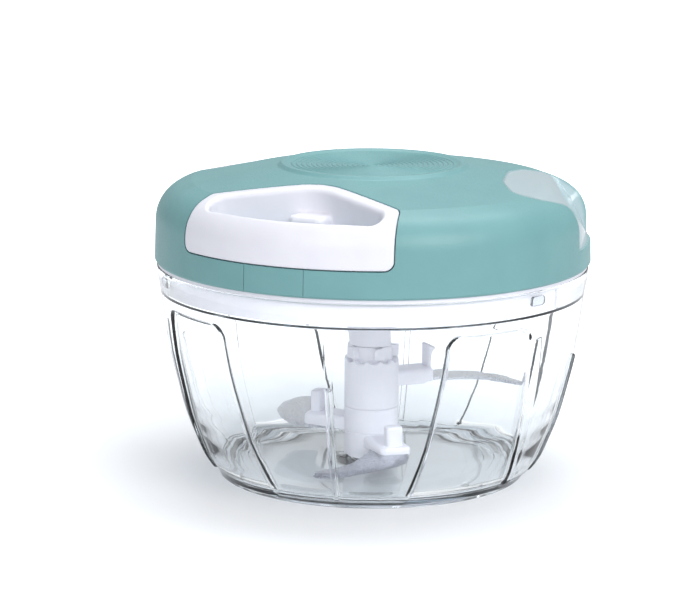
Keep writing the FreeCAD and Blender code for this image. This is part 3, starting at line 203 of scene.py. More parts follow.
def stacked(name, rows):
    """A closed solid through outlines of equal counts, with a flat face on its first and last one."""
    count = len(rows[0])
    faces = []
    for start in range(0, (len(rows) - 1) * count, count):
        above = start + count
        faces += [(start + k, start + (k + 1) % count, above + (k + 1) % count, above + k)
                  for k in range(count)]
    faces += [tuple(reversed(range(count))), tuple(range((len(rows) - 1) * count, len(rows) * count))]
    return outward(new_piece(name, np.concatenate(rows), faces))


def around(radius, turn, height):
    """Points at a radius, a turn in degrees from the handle side towards +X, and a height."""
    angle = np.radians(turn)
    return np.stack(np.broadcast_arrays(radius * np.sin(angle), -radius * np.cos(angle), height), -1)


def turned_piece(name, section, columns=96):
    """A closed solid of revolution from its half section, which starts and ends on the axis or closes."""
    section = np.asarray(section, float)
    turns = np.arange(columns) * 360 / columns
    on_axis = [section[0][0] < 1e-6, section[-1][0] < 1e-6]
    rows = section[1 if on_axis[0] else 0: -1 if on_axis[1] else None]
    points = [around(r, turns, z) for r, z in rows]
    if on_axis[0]:
        points.insert(0, np.array([[0, 0, section[0][1]]]))
    if on_axis[1]:
        points.append(np.array([[0, 0, section[-1][1]]]))
    faces = lathe_faces(len(rows), columns, *on_axis) if any(on_axis) else ring_faces(len(rows), columns)
    return outward(new_piece(name, np.concatenate(points), faces))


def outward(piece):
    """Turns every face of a closed piece outwards."""
    shape = bmesh.new()
    shape.from_mesh(piece.data)
    bmesh.ops.remove_doubles(shape, verts=shape.verts, dist=1e-7)
    bmesh.ops.recalc_face_normals(shape, faces=shape.faces)
    shape.to_mesh(piece.data)
    shape.free()
    return piece


def closed(piece):
    """Closes the pinholes that working a solid out on a grid can leave."""
    shape = bmesh.new()
    shape.from_mesh(piece.data)
    bmesh.ops.remove_doubles(shape, verts=shape.verts, dist=1e-6)
    bmesh.ops.dissolve_degenerate(shape, edges=shape.edges, dist=1e-5)
    bmesh.ops.holes_fill(shape, edges=[edge for edge in shape.edges if edge.is_boundary], sides=12)
    shape.to_mesh(piece.data)
    shape.free()
    return outward(piece)


def combined(piece, tool, operation):
    """Piece with the tool taken off, joined or kept in common. The tool is used up."""
    step = piece.modifiers.new("combine", "BOOLEAN")
    step.operation = operation
    step.solver = "MANIFOLD"
    step.object = tool
    applied(piece)
    bpy.data.objects.remove(tool)
    return piece


def applied(piece):
    """The piece with its modifiers' result as a plain mesh."""
    graph = bpy.context.evaluated_depsgraph_get()
    mesh = bpy.data.meshes.new_from_object(piece.evaluated_get(graph))
    piece.modifiers.clear()
    piece.data = mesh
    return piece


def finish_piece(piece, body, material, replaces=(), crease=30):
    """Shading, material and body of a finished piece; hides the parts that it replaces."""
    piece.data.materials.clear()
    piece.data.materials.append(material)
    piece.data.shade_smooth()
    if crease:
        piece.data.set_sharp_from_angle(angle=math.radians(crease))
    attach(piece, body)
    if replaces:
        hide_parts(*replaces)
    return piece


# Materials

def colour(red, green, blue):
    """A colour as it is seen on a screen, 0 to 255, in the linear values that shaders take."""
    values = [c / 255 for c in (red, green, blue)]
    return tuple(c / 12.92 if c <= 0.04045 else ((c + 0.055) / 1.055) ** 2.4 for c in values) + (1.0,)


def mixed(tree, share, first, second):
    """One surface shader turned into the other by the share."""
    mix = tree.nodes.new("ShaderNodeMixShader")
    for source, socket in zip((share, first, second), mix.inputs):
        tree.links.new(source, socket)
    return mix.outputs["Shader"]


class Finish:
    """A material that is built up from nodes on Object coordinates."""

    def __init__(self, name, **settings):
        self.material = bpy.data.materials.new(name)
        self.material.use_nodes = True
        self.tree = self.material.node_tree
        self.shader = self.tree.nodes["Principled BSDF"]
        self.output = self.tree.nodes["Material Output"]
        self.set(self.shader, **settings)
        self.place = self.add("ShaderNodeTexCoord").outputs["Object"]

    @staticmethod
    def set(node, **settings):
        """Plain values for a node's inputs, which are named with _ for a space."""
        for name, value in settings.items():
            node.inputs[name.replace("_", " ")].default_value = value

    def add(self, kind, **settings):
        """A new node with its settings."""
        node = self.tree.nodes.new(kind)
        for name, value in settings.items():
            setattr(node, name, value)
        return node

    def link(self, source, target):
        self.tree.links.new(source, target)

    def noise(self, size, detail=2.0, roughness=0.5, stretch=None):
        """Noise with features of about the given size in millimetres."""
        texture = self.add("ShaderNodeTexNoise")
        self.set(texture, Scale=1 / (size * MM), Detail=detail, Roughness=roughness)
        if stretch:
            mapping = self.add("ShaderNodeMapping")
            mapping.inputs["Scale"].default_value = stretch
            self.link(self.place, mapping.inputs["Vector"])
            self.link(mapping.outputs["Vector"], texture.inputs["Vector"])
        else:
            self.link(self.place, texture.inputs["Vector"])
        return texture.outputs["Fac"]

    def spread(self, source, low, high, from_low=0.3, from_high=0.7):
        """The source's range turned into another range."""
        ranged = self.add("ShaderNodeMapRange")
        self.set(ranged, From_Min=from_low, From_Max=from_high, To_Min=low, To_Max=high)
        self.link(source, ranged.inputs["Value"])
        return ranged.outputs["Result"]

    def blend_colours(self, factor, first, second):
        """One colour turned into the other by the factor. Either may come from another node."""
        mix = self.add("ShaderNodeMix", data_type="RGBA")
        sockets = {socket.identifier: socket for socket in mix.inputs}
        for socket, value in ((sockets["A_Color"], first), (sockets["B_Color"], second)):
            if isinstance(value, bpy.types.NodeSocket):
                self.link(value, socket)
            else:
                socket.default_value = value
        self.link(factor, sockets["Factor_Float"])
        return next(socket for socket in mix.outputs if socket.identifier == "Result_Color")

    def bump(self, height, depth):
        """Raises the surface by the height texture, whose full range is depth millimetres."""
        bump = self.add("ShaderNodeBump")
        bump.inputs["Strength"].default_value = 1.0
        bump.inputs["Distance"].default_value = depth * MM
        self.link(height, bump.inputs["Height"])
        return bump.outputs["Normal"]


def plain_finish(name, first, second, rough, grain, grain_depth, patch=9.0, **settings):
    """Two close colours in soft patches, a rough to smooth range, and a fine grain."""
    finish = Finish(name, **settings)
    finish.link(finish.blend_colours(finish.spread(finish.noise(patch), 0, 1), first, second),
                finish.shader.inputs["Base Color"])
    finish.link(finish.spread(finish.noise(patch / 3), *rough), finish.shader.inputs["Roughness"])
    finish.link(finish.bump(finish.noise(grain, 3), grain_depth), finish.shader.inputs["Normal"])
    return finish.material


white_plastic = plain_finish("white_plastic", colour(243, 242, 249), colour(239, 238, 246),
                             (0.3, 0.4), 0.5, 0.012, IOR=1.5)
bearing_plastic = plain_finish("bearing_plastic", colour(226, 226, 222), colour(217, 217, 211),
                               (0.45, 0.6), 0.6, 0.02)
reel_plastic = plain_finish("reel_plastic", colour(171, 179, 186), colour(160, 168, 176),
                            (0.4, 0.55), 0.6, 0.02)
seal_rubber = plain_finish("seal_rubber", colour(228, 232, 235), colour(216, 221, 226),
                           (0.5, 0.65), 0.4, 0.02)


def cover_finish():
    """Mint plastic with a fine grain, and polished scoops where the attribute says so; the scoops' paler
    colour is a painted reflection of the white studio.
    """
    finish = Finish("cover_plastic", IOR=1.5)
    patches = finish.spread(finish.noise(12), 0, 1)
    mint = finish.blend_colours(patches, colour(121, 171, 172), colour(117, 166, 168))
    polish_and_painted_reflection = finish.add("ShaderNodeAttribute", attribute_name="polish_and_painted_reflection").outputs["Fac"]
    # The paler colour that the scoops blend to is a painted reflection of the studio's white, not the
    # plastic's own colour.
    finish.link(finish.blend_colours(finish.spread(polish_and_painted_reflection, 0, 1, 0, 1), mint, colour(186, 206, 211)),
                finish.shader.inputs["Base Color"])
    rough = finish.add("ShaderNodeMix", data_type="FLOAT")
    rough.inputs["B"].default_value = 0.07
    finish.link(polish_and_painted_reflection, rough.inputs["Factor"])
    finish.link(finish.spread(finish.noise(0.5, 4), 0.34, 0.5), rough.inputs["A"])
    finish.link(rough.outputs["Result"], finish.shader.inputs["Roughness"])
    grain = finish.add("ShaderNodeMath", operation="MULTIPLY")
    finish.link(finish.noise(0.42, 3, 0.6), grain.inputs[0])
    finish.link(finish.spread(polish_and_painted_reflection, 1, 0, 0, 1), grain.inputs[1])
    finish.link(finish.bump(grain.outputs["Value"], 0.06), finish.shader.inputs["Normal"])
    return finish.material


def clear_finish():
    """Clear plastic, faintly blue through its depth. Lamps shine through it without being bent."""
    finish = Finish("bowl_plastic", Transmission_Weight=1.0, IOR=1.5, Base_Color=colour(249, 251, 252))
    finish.link(finish.spread(finish.noise(14), 0.0, 0.03), finish.shader.inputs["Roughness"])
    finish.link(finish.bump(finish.noise(9, 1), 0.012), finish.shader.inputs["Normal"])
    path = finish.add("ShaderNodeLightPath")
    through = finish.add("ShaderNodeBsdfTransparent")
    through.inputs["Color"].default_value = colour(242, 244, 245)
    surface = mixed(finish.tree, path.outputs["Is Shadow Ray"], finish.shader.outputs["BSDF"],
                    through.outputs["BSDF"])
    finish.link(surface, finish.output.inputs["Surface"])
    depth = finish.add("ShaderNodeVolumeAbsorption")
    depth.inputs["Color"].default_value = colour(176, 200, 216)
    depth.inputs["Density"].default_value = 14.0
    finish.link(depth.outputs["Volume"], finish.output.inputs["Volume"])
    return finish.material


def metal_finish(name, first, second, rough, stretch, scratch=0.4, depth=0.01):
    """Metal with fine working marks that run along one direction."""
    finish = Finish(name, Metallic=1.0)
    marks = finish.noise(scratch, 3, 0.6, stretch)
    finish.link(finish.blend_colours(finish.spread(marks, 0, 1), first, second),
                finish.shader.inputs["Base Color"])
    finish.link(finish.spread(marks, *rough), finish.shader.inputs["Roughness"])
    finish.link(finish.bump(marks, depth), finish.shader.inputs["Normal"])
    return finish.material


cover_plastic = cover_finish()
bowl_plastic = clear_finish()
blade_steel = metal_finish("blade_steel", colour(176, 178, 186), colour(196, 198, 204),
                           (0.22, 0.34), (1, 1, 0.2))
pin_steel = metal_finish("pin_steel", colour(200, 202, 204), colour(210, 211, 213),
                         (0.1, 0.16), (1, 1, 8))
screw_steel = metal_finish("screw_steel", colour(170, 171, 173), colour(186, 187, 189),
                           (0.25, 0.4), (1, 1, 4))
spring_steel = metal_finish("spring_steel", colour(96, 104, 122), colour(116, 124, 140),
                            (0.25, 0.35), (1, 1, 6))
brass = metal_finish("brass", colour(206, 172, 104), colour(218, 186, 120),
                     (0.22, 0.32), (1, 4, 1))
cord_fibre = plain_finish("cord_fibre", colour(238, 238, 233), colour(224, 224, 217),
                          (0.7, 0.85), 0.35, 0.12)

node_finishes = {
    "bowl_plastic": bowl_plastic, "cover_plastic": cover_plastic, "white_plastic": white_plastic,
    "blade_steel": blade_steel, "pin_steel": pin_steel, "screw_steel": screw_steel,
    "spring_steel": spring_steel, "brass": brass, "bearing_plastic": bearing_plastic,
    "reel_plastic": reel_plastic, "seal_rubber": seal_rubber, "cord": cord_fibre,
}


def dress_nodes():
    """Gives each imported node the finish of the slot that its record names."""
    for part in frame["record"]["subparts"]:
        materials = frame["nodes"][part["node"]].data.materials
        materials.clear()
        materials.append(node_finishes[part["material_slot"]])


# Bowl

bowl_outside = rounded_line([
    (foot_radius, 0), (foot_radius + 0.3, foot_height), (foot_radius + bowl_wall, foot_height + 0.15, 1.5),
    (foot_radius + 5, 6.6, 20), (foot_radius + 10.2, 19.4, 60), (rim_radius - 3, rim_height - 23.9, 100),
    (rim_radius - 0.9, rim_height - 7.4, 30), (rim_radius, rim_height - 2.4, 8), (rim_radius, rim_height)])
bowl_inside = rounded_line([
    (rim_radius - bowl_wall, rim_height), (rim_radius - bowl_wall, ledge_top),
    (rim_radius - 0.9 - bowl_wall, ledge_top - ledge_drop),
    (rim_radius - 3 - bowl_wall, rim_height - 23.9, 100),
    (foot_radius + 8.2, 19.55, 60), (foot_radius + 3, 8.6, 18), (foot_radius + 0.15, floor_top, 3),
    (foot_radius - 2, floor_top)])


def flute_edge(height):
    """Half the width of a panel at a height."""
    share = np.clip((height - flute_foot) / (flute_top - flute_foot), 0, 1)
    return flute_foot_half + (flute_top_half - flute_foot_half) * share


def flute_distance(across, height):
    """How far a point lies outside a panel's outline, negative inside it."""
    lean = (flute_foot_half - flute_top_half) / (flute_top - flute_foot)
    corner = flute_corner
    side = (np.abs(across) - flute_edge(height)) / math.hypot(1, lean)
    top = height - flute_top
    beside, above = np.maximum(side + corner, 0), np.maximum(top + corner, 0)
    rounded = np.minimum(np.maximum(side + corner, top + corner), 0) + np.hypot(beside, above) - corner
    return np.maximum(rounded, flute_foot - height)


def bowl_columns(radius, height):
    """Turns of the grid's columns at a row, which follow the panels' edges and the ribs."""
    edge = math.degrees(math.asin(min(0.9, flute_edge(height) / radius)))
    step = math.degrees(0.5 / radius)
    corner = math.degrees(5.0 / radius)
    rib = math.degrees(rib_half / radius)
    knots = [(0, 0), (edge - corner, 5), (edge - step, 8), (edge + step, 4), (45 - rib * 1.25, 7)]
    turns = [0.0]
    for (start, _), (end, count) in zip(knots[:-1], knots[1:]):
        turns += [start + (end - start) * k / count for k in range(1, count + 1)]
    turns += [45 - rib * share for share in (1.0, 0.9, 0.7, 0.4)]
    half = turns + [45.0]
    quarter = [-t for t in reversed(half[1:-1])] + half[:-1] + [45.0]
    return np.array([t + flute_turn + 90 * k for k in range(4) for t in quarter])


def bowl_row(radius, height, wall=0):
    """One row of the bowl: wall is 1 outside, -1 inside, 0 where the section is plain."""
    turns = bowl_columns(max(radius, foot_radius - 2), max(height, flute_foot) if wall else flute_foot)
    moved = np.full(len(turns), float(radius))
    if wall:
        local = (turns - flute_turn + 45) % 90 - 45
        across = radius * np.sin(np.radians(local))
        inset = smooth_step(0.5, -0.5, flute_distance(across, height))
        moved -= flute_depth * inset
        if wall > 0:
            rib = (turns - flute_turn + 90) % 90 - 45
            beside = radius * np.radians(rib)
            past_top = np.maximum(height - (rib_top - rib_half), 0)
            reach = np.hypot(beside, past_top) / rib_half
            foot = smooth_step(flute_foot - 2.5, flute_foot + 2, height)
            moved += rib_proud * np.sqrt(np.clip(1 - reach ** 2, 0, 1)) * foot
    return around(moved, turns, height)


def bowl_heights(lowest, highest):
    """Heights of the wall's rows, closer together where a panel or a rib ends."""
    heights = set(np.linspace(lowest, highest, 44))
    heights |= set(np.arange(flute_top - 5.2, flute_top + 1.2, 0.55))
    heights |= set(flute_foot + k * 0.5 for k in (-1, -0.5, 0, 0.5, 1, 2))
    heights |= set(rib_top - k * 0.24 for k in range(-1, 6))
    heights |= set(ledge_top + k for k in (0.35, 0.15, 0, -0.42, -ledge_drop, -1.0, -1.2))
    kept = [lowest]
    for height in sorted(heights):
        if height - kept[-1] > 0.12 and highest - height > 0.12:
            kept.append(height)
    return kept + [highest]


floor_rings = ((42.4, 0.25), (40.2, 0.25), (38.0, 0.25), (34.7, 0.15))


def build_bowl():
    """The clear bowl as one closed solid: outside, rim, inside, stepped floor and recessed foot."""
    outside = bowl_outside[np.argsort(bowl_outside[:, 1], kind="stable")]
    inside = bowl_inside[np.argsort(bowl_inside[:, 1], kind="stable")]
    wall_start = 2.7
    rows = [bowl_row(r, foot_recess) for r in (12, 24, 34, 41)]
    rows += [bowl_row(*p) for p in ((foot_radius - 3.0, foot_recess), (foot_radius - 2.7, foot_recess - 0.25),
                                    (foot_radius - 2.55, 0.25), (foot_radius - 2.2, 0),
                                    (foot_radius - 0.3, 0), (foot_radius, 0.3))]
    rows += [bowl_row(r, z, 1 if r > foot_radius + 1.2 else 0) for r, z in outside if 0.4 < z < wall_start]
    for height in bowl_heights(wall_start, rim_height - 0.35):
        rows.append(bowl_row(float(np.interp(height, outside[:, 1], outside[:, 0])), height, 1))
    rows += [bowl_row(rim_radius - 0.12, rim_height - 0.1), bowl_row(rim_radius - 0.4, rim_height),
             bowl_row(rim_radius - bowl_wall + 0.35, rim_height),
             bowl_row(rim_radius - bowl_wall + 0.05, rim_height - 0.3)]
    for height in reversed(bowl_heights(floor_top + 1.2, rim_height - 0.6)):
        rows.append(bowl_row(float(np.interp(height, inside[:, 1], inside[:, 0])), height, -1))
    rows += [bowl_row(r, z) for r, z in reversed(inside) if floor_top + 0.02 < z < floor_top + 1.1]
    level = floor_top
    rows.append(bowl_row(foot_radius - 2.6, level))
    for ring, drop in floor_rings:
        rows += [bowl_row(ring, level), bowl_row(ring - 0.1, level - drop * 0.15),
                 bowl_row(ring - 0.25, level - drop * 0.85), bowl_row(ring - 0.35, level - drop)]
        level -= drop
    rows += [bowl_row(r, level) for r in (28, 20, 13)]
    rows += [bowl_row(r, z) for r, z in ((7.4, level), (6.3, floor_top - 0.2), (5.9, boss_top - 0.2),
                                         (5.6, boss_top - 0.02), (pin_hole, boss_top - 0.02),
                                         (pin_hole, boss_top - pin_depth))]
    columns = len(rows[0])
    points = np.concatenate([[[0, 0, foot_recess]]] + rows + [[[0, 0, boss_top - pin_depth]]])
    return outward(new_piece("bowl_body", points, lathe_faces(len(rows), columns, True, True)))


finish_piece(build_bowl(), "bowl", bowl_plastic, ["bowl"], crease=0)


# Distances to outlines, and solids made from them

def outline_distance(points, outline):
    """Distance of points to a closed outline, negative inside it."""
    points = np.asarray(points, float)
    nearest = np.full(len(points), np.inf)
    inside = np.zeros(len(points), bool)
    for start, end in zip(outline, np.roll(outline, -1, axis=0)):
        side, offset = end - start, points - start
        share = np.clip((offset @ side) / max(side @ side, 1e-12), 0, 1)
        nearest = np.minimum(nearest, np.sum((offset - share[:, None] * side) ** 2, axis=1))
        crosses = (start[1] > points[:, 1]) != (end[1] > points[:, 1])
        if side[1]:
            inside ^= crosses & (points[:, 0] < start[0] + (points[:, 1] - start[1]) * side[0] / side[1])
    return np.sqrt(nearest) * np.where(inside, -1, 1)


class DistanceMap:
    """An outline's distances on a fine chart, read between its points."""

    def __init__(self, outline, low, high, step=0.15):
        self.low, self.step = np.array(low, float), step
        counts = np.ceil((np.array(high) - self.low) / step).astype(int) + 2
        across, up = (self.low[k] + np.arange(counts[k]) * step for k in (0, 1))
        chart = np.stack(np.meshgrid(across, up, indexing="ij"), -1).reshape(-1, 2)
        self.values = outline_distance(chart, outline).reshape(counts)

    def __call__(self, across, up):
        u = np.clip((across - self.low[0]) / self.step, 0, self.values.shape[0] - 1.001)
        v = np.clip((up - self.low[1]) / self.step, 0, self.values.shape[1] - 1.001)
        i, j = u.astype(int), v.astype(int)
        u, v = u - i, v - j
        near = self.values[i, j] * (1 - u) + self.values[i + 1, j] * u
        far = self.values[i, j + 1] * (1 - u) + self.values[i + 1, j + 1] * u
        return near * (1 - v) + far * v


def rounded_common(first, second, radius):
    """Distance to what two solids share, with the edge between them rounded."""
    edge = np.hypot(np.maximum(first + radius, 0), np.maximum(second + radius, 0))
    return np.minimum(-radius, np.maximum(first, second)) + edge


def rounded_union(first, second, radius):
    """Distance to two solids joined with a fillet between them."""
    return -rounded_common(-first, -second, radius)


def solid_piece(name, distance, low, high, cell):
    """A closed mesh of the solid inside which distance(x, y, z) is negative."""
    axes = [np.arange(low[k], high[k] + cell, cell) for k in range(3)]
    field = distance(*np.meshgrid(*axes, indexing="ij"))
    field = np.where(field == 0, 1e-9, field)
    shape = [n - 1 for n in field.shape]
    total, crossings = np.zeros(shape + [3]), np.zeros(shape)
    corner = lambda offset: field[tuple(slice(o, o + n) for o, n in zip(offset, shape))]
    for axis in range(3):
        for first in (0, 1):
            for second in (0, 1):
                start = [0, 0, 0]
                start[(axis + 1) % 3], start[(axis + 2) % 3] = first, second
                end = list(start)
                end[axis] = 1
                a, b = corner(start), corner(end)
                cut = (a < 0) != (b < 0)
                share = np.where(cut, a / np.where(cut, a - b, 1), 0)
                for k in range(3):
                    total[..., k] += np.where(cut, start[k] + (share if k == axis else 0), 0)
                crossings += cut
    used = crossings > 0
    number = np.full(shape, -1)
    number[used] = np.arange(used.sum())
    cells = np.argwhere(used)
    points = np.array(low) + (cells + total[used] / crossings[used][:, None]) * cell
    points = settled(points, distance, cell)
    faces = []
    for axis in range(3):
        u, v = (axis + 1) % 3, (axis + 2) % 3
        a = field[tuple(slice(0, -1) if k == axis else slice(1, -1) for k in range(3))]
        b = field[tuple(slice(1, None) if k == axis else slice(1, -1) for k in range(3))]
        for spots, order in ((np.argwhere((a < 0) & (b >= 0)), (0, 1, 2, 3)),
                             (np.argwhere((a >= 0) & (b < 0)), (3, 2, 1, 0))):
            spots = spots + np.array([0 if k == axis else 1 for k in range(3)])
            ring = []
            for back_u, back_v in ((1, 1), (0, 1), (0, 0), (1, 0)):
                at = spots.copy()
                at[:, u] -= back_u
                at[:, v] -= back_v
                ring.append(number[tuple(at.T)])
            faces.append(np.stack([ring[k] for k in order], -1))
    return new_piece(name, points, np.concatenate(faces).tolist())


def settled(points, distance, reach):
    """Moves points onto the solid's surface."""
    for _ in range(3):
        here = distance(*points.T)
        slope = np.stack([distance(*(points + np.eye(3)[k] * 0.02).T) - here for k in range(3)], -1) / 0.02
        move = slope * (here / np.maximum(np.sum(slope ** 2, axis=1), 0.05))[:, None]
        size = np.linalg.norm(move, axis=1, keepdims=True)
        points = points - move * np.minimum(1, 0.5 * reach / np.maximum(size, 1e-9))
    return points


# Top cover

disc_radius = 27.6
crease_radius = lid_radius - 11
dish_floor = lid_top - 1.2
cavity_radius = lid_radius - 2.1
post_radius = 3.9
pilot_radius = 1.5
cover_screw_ring = rim_radius - 14.4
housing_screw_ring = 33.8
housing_screw_seat = 69.9
drum_radius = 20.0
roof_under = dish_floor - 2.2
pocket_floor = handle_low.z - 0.3
pocket_fit = 0.35
pocket_wall = 1.4
pocket_bed = 1.5
pocket_corner = 2.7
insert_half = 9.4
cord_level = handle_low.z + 7.05
lid_outline = rounded_line([
    (0, dish_floor), (disc_radius - 2.8, dish_floor + 0.6, 2), (disc_radius - 1.6, lid_top, 1),
    (disc_radius - 0.3, lid_top, 0.6), (disc_radius + 0.9, lid_top - 1, 1.2),
    (crease_radius, lid_top - 5.2, 1.2), (lid_radius - 0.6, lid_top - 9, 11), (lid_radius, lid_edge + 0.6),
    (lid_radius - 0.45, lid_edge)], arc=5)
scoop_turn = 108.0
scoop_half = 25.2
scoop_foot = 16.0
scoop_reach = lid_radius - 25.6
scoop_low = lid_edge + 7.0
scoop_swing = 150.0
scoop_wall = 1.6


def scoop_outline(out=0.0):
    """A scoop's plan, grown by an amount: x across, y towards the axis."""
    half, foot, reach = scoop_half + out, scoop_foot + out, scoop_reach - out
    return rounded_line([
        (-foot, -lid_radius - 10), (foot, -lid_radius - 10), (foot, -lid_radius + 6.5, 6),
        (half, -lid_radius + 16, 3.5), (half - 3.2, -reach - 3.8, 7.5), (half * 0.38, -reach, 18),
        (-half * 0.38, -reach, 18), (-half + 3.2, -reach - 3.8, 7.5), (-half, -lid_radius + 16, 3.5),
        (-foot, -lid_radius + 6.5, 6)], closed=True)


def scoop_section(out=0.0):
    """Section of the dome that a scoop follows, measured from the scoop's own axis behind the lid's."""
    edge = scoop_swing + lid_radius
    return rounded_line([
        (scoop_swing + 30, lid_edge - 3), (edge + 0.4 - out, lid_edge - 3),
        (edge - 1.55 - out, lid_edge + 7, 40), (edge - 6.4 - out * 0.8, lid_top - 11.2 - out * 0.6, 22),
        (edge - 12.4 - out * 0.4, lid_top - 5.8 - out, 10), (edge - 21, lid_top - 4.4 - out),
        (scoop_swing + 30, lid_top - 2.1 - out)], closed=True, arc=4.0)


scoop_plan = scoop_outline()
scoop_dome = scoop_section()
scoop_edge = 0.45


def border_turns():
    """Half the turn that a scoop spans, at every radius of the lid's skin."""
    radii, turns = np.arange(30, lid_radius + 0.5, 0.25), np.arange(0, 36, 0.1)
    points = around(radii[:, None], turns[None, :], 0.0)[..., :2].reshape(-1, 2)
    inside = (outline_distance(points, scoop_plan) < 0).reshape(len(radii), len(turns))
    widest = [turns[row].max() if row.any() else 0 for row in inside]
    return radii, np.maximum(widest, math.degrees(math.asin((scoop_half - 1.7) / 49.0)) * (radii < 49))


border_radii, border_half = border_turns()


def lid_rows():
    """Points and outward normals down the lid's outline, closer together where the scoops begin and end."""
    line = [lid_outline[0]]
    for start, end in zip(lid_outline[:-1], lid_outline[1:]):
        middle = (start + end) / 2
        longest = 6 if middle[0] < disc_radius else 1.2
        if np.linalg.norm(end - start) > 8 and middle[0] < crease_radius:
            cuts = [t for t in np.arange(0.4, crease_radius, 0.4) if scoop_reach - 2 < t < 50.5]
            cuts += [31, 34, 36.5, 51.4, 52.5, 53.4]
            line += [start + (end - start) * (t - start[0]) / (end[0] - start[0]) for t in sorted(cuts)
                     if start[0] < t < end[0]]
            line.append(end)
            continue
        if middle[0] > lid_radius - 1 and end[1] < scoop_low < start[1]:
            levels = [scoop_low + t for t in (9, 7, 5, 3.5, 2.2, 1.4, 0.8, 0.4, 0, -0.4, -0.8, -1.6, -3.5)]
            line += [start + (end - start) * (t - start[1]) / (end[1] - start[1]) for t in levels
                     if end[1] < t < start[1]]
            line.append(end)
            continue
        pieces = max(1, math.ceil(np.linalg.norm(end - start) / longest))
        line += [start + (end - start) * k / pieces for k in range(1, pieces + 1)]
    line = np.array(line)
    along = np.gradient(line, axis=0)
    along /= np.linalg.norm(along, axis=1, keepdims=True)
    return line, np.stack([-along[:, 1], along[:, 0]], -1)


def lid_columns(radius):
    """Turns of the grid's columns at a radius, so that they follow the scoops' side edges."""
    half = float(np.interp(radius, border_radii, border_half))
    step = math.degrees(scoop_edge * 1.1 / max(radius, 40))
    knots = [(0, 0), (scoop_turn - half - step, 34), (scoop_turn - half + step, 6),
             (scoop_turn + half - step, 56), (scoop_turn + half + step, 6), (180, 24)]
    turns = [0.0]
    for (start, _), (end, count) in zip(knots[:-1], knots[1:]):
        turns += [start + (end - start) * k / count for k in range(1, count + 1)]
    return np.array(turns + [-t for t in reversed(turns[1:-1])])


def scoop_place(points, side):
    """Points as a scoop sees them: across its middle, and out from the lid's axis."""
    turn = math.radians(scoop_turn * side)
    return (points[..., 0] * math.cos(turn) + points[..., 1] * math.sin(turn),
            points[..., 0] * math.sin(turn) - points[..., 1] * math.cos(turn))


def scoop_share(points, side):
    """How far points of the lid lie in one scoop: 0 outside, 1 inside."""
    across, out = scoop_place(points, side)
    distance = outline_distance(np.stack([across, -out], -1), scoop_plan)
    above_foot = smooth_step(scoop_low - 0.4, scoop_low + 0.4, points[..., 2])
    return smooth_step(scoop_edge, -scoop_edge, distance) * above_foot


def lid_solid(name):
    """The lid's outer shape as a full solid with its two scoops."""
    line, normals = lid_rows()
    columns = np.array([lid_columns(radius) for radius, _ in line[1:]])
    here = around(line[1:, :1], columns, line[1:, 1:])
    outward_of = around(normals[1:, :1], columns, normals[1:, 1:])
    count = here.shape[1]
    here, outward_of = here.reshape(-1, 3), outward_of.reshape(-1, 3)
    moved = here.copy()
    for side in (1, -1):
        across, out = scoop_place(here, side)
        beside = np.abs(across) < scoop_half + 4
        near = np.flatnonzero((out > scoop_reach - 4) & beside & (here[:, 2] > scoop_low - 2))
        depth = np.zeros(len(near))
        for _ in range(4):
            across, out = scoop_place(here[near] - outward_of[near] * depth[:, None], side)
            level = here[near, 2] - outward_of[near, 2] * depth
            depth += outline_distance(np.stack([np.hypot(out + scoop_swing, across), level], -1), scoop_dome)
        share = scoop_share(here[near], side) * np.maximum(depth, 0)
        moved[near] = here[near] - outward_of[near] * share[:, None]
    points = np.concatenate([[[0, 0, line[0][1]]], moved, [[0, 0, lid_edge]]])
    return outward(new_piece(name, points, lathe_faces(len(line) - 1, count, True, True)))


def scoop_back(side):
    """The wall left standing behind a scoop, taken off the lid's hollow."""
    plan = scoop_outline(scoop_wall)
    back = prism("scoop_back", [(plan, scoop_low - scoop_wall), (plan, lid_top + 2)])
    dome = turned_piece("scoop_dome", scoop_section(scoop_wall), 360)
    dome.data.transform(Matrix.Translation((0, scoop_swing * MM, 0)))
    combined(back, dome, "DIFFERENCE")
    back.data.transform(Matrix.Rotation(math.radians(scoop_turn * side), 4, "Z"))
    return back


# Handle and its pocket, in plan: x across, y along the pull

handle_back = 34.0
back_radius = 18.0
handle_half = lid_radius - 32
handle_lean = math.radians(17)
handle_slope = math.radians(23)
side_level = lid_radius - 9.5
handle_corner = 3.5
back_wall = 4.0
side_wall = 4.5
bar_inside = lid_radius - 5.2


def handle_plan(back_out, side_out, back_corner):
    """Corners of the handle's plan moved out by two amounts, open to the front."""
    spread = 1 / math.cos(handle_slope)
    slope, lean = 1 / math.tan(handle_slope), math.tan(handle_lean)
    apex = handle_back - back_radius * (spread - 1) - back_out * spread
    side = handle_half + side_out / math.cos(handle_lean)
    corner_y = (apex * slope + side - side_level * lean) / (slope - lean)
    corner_x = (corner_y - apex) * slope
    far_y = lid_radius + 10
    far_x = side + (far_y - side_level) * lean
    return [(0, -apex, back_radius + back_out), (corner_x, -corner_y, back_corner), (far_x, -far_y),
            (-far_x, -far_y), (-corner_x, -corner_y, back_corner)]


def opening_plan():
    """Corners of the finger opening's plan."""
    corners = handle_plan(-back_wall, -side_wall, 4.2)
    lean, bend = math.tan(handle_lean), math.radians(20)
    side = handle_half - side_wall / math.cos(handle_lean)
    apex = bar_inside / math.cos(bend)
    end_y = (apex - math.tan(bend) * (side - side_level * lean)) / (1 + math.tan(bend) * lean)
    end_x = side + (end_y - side_level) * lean
    return [corners[0], corners[1], (end_x, -end_y, 3.8), (0, -apex, bar_inside), (-end_x, -end_y, 3.8),
            corners[4]]


def prism(name, plans):
    """A closed solid through outlines of equal counts, each with its height."""
    return stacked(name, [np.column_stack([plan, np.full(len(plan), height)]) for plan, height in plans])


def block(name, low, high):
    """A box between two corners."""
    plan = np.array([(low[0], low[1]), (high[0], low[1]), (high[0], high[1]), (low[0], high[1])])
    return prism(name, [(plan, low[2]), (plan, high[2])])


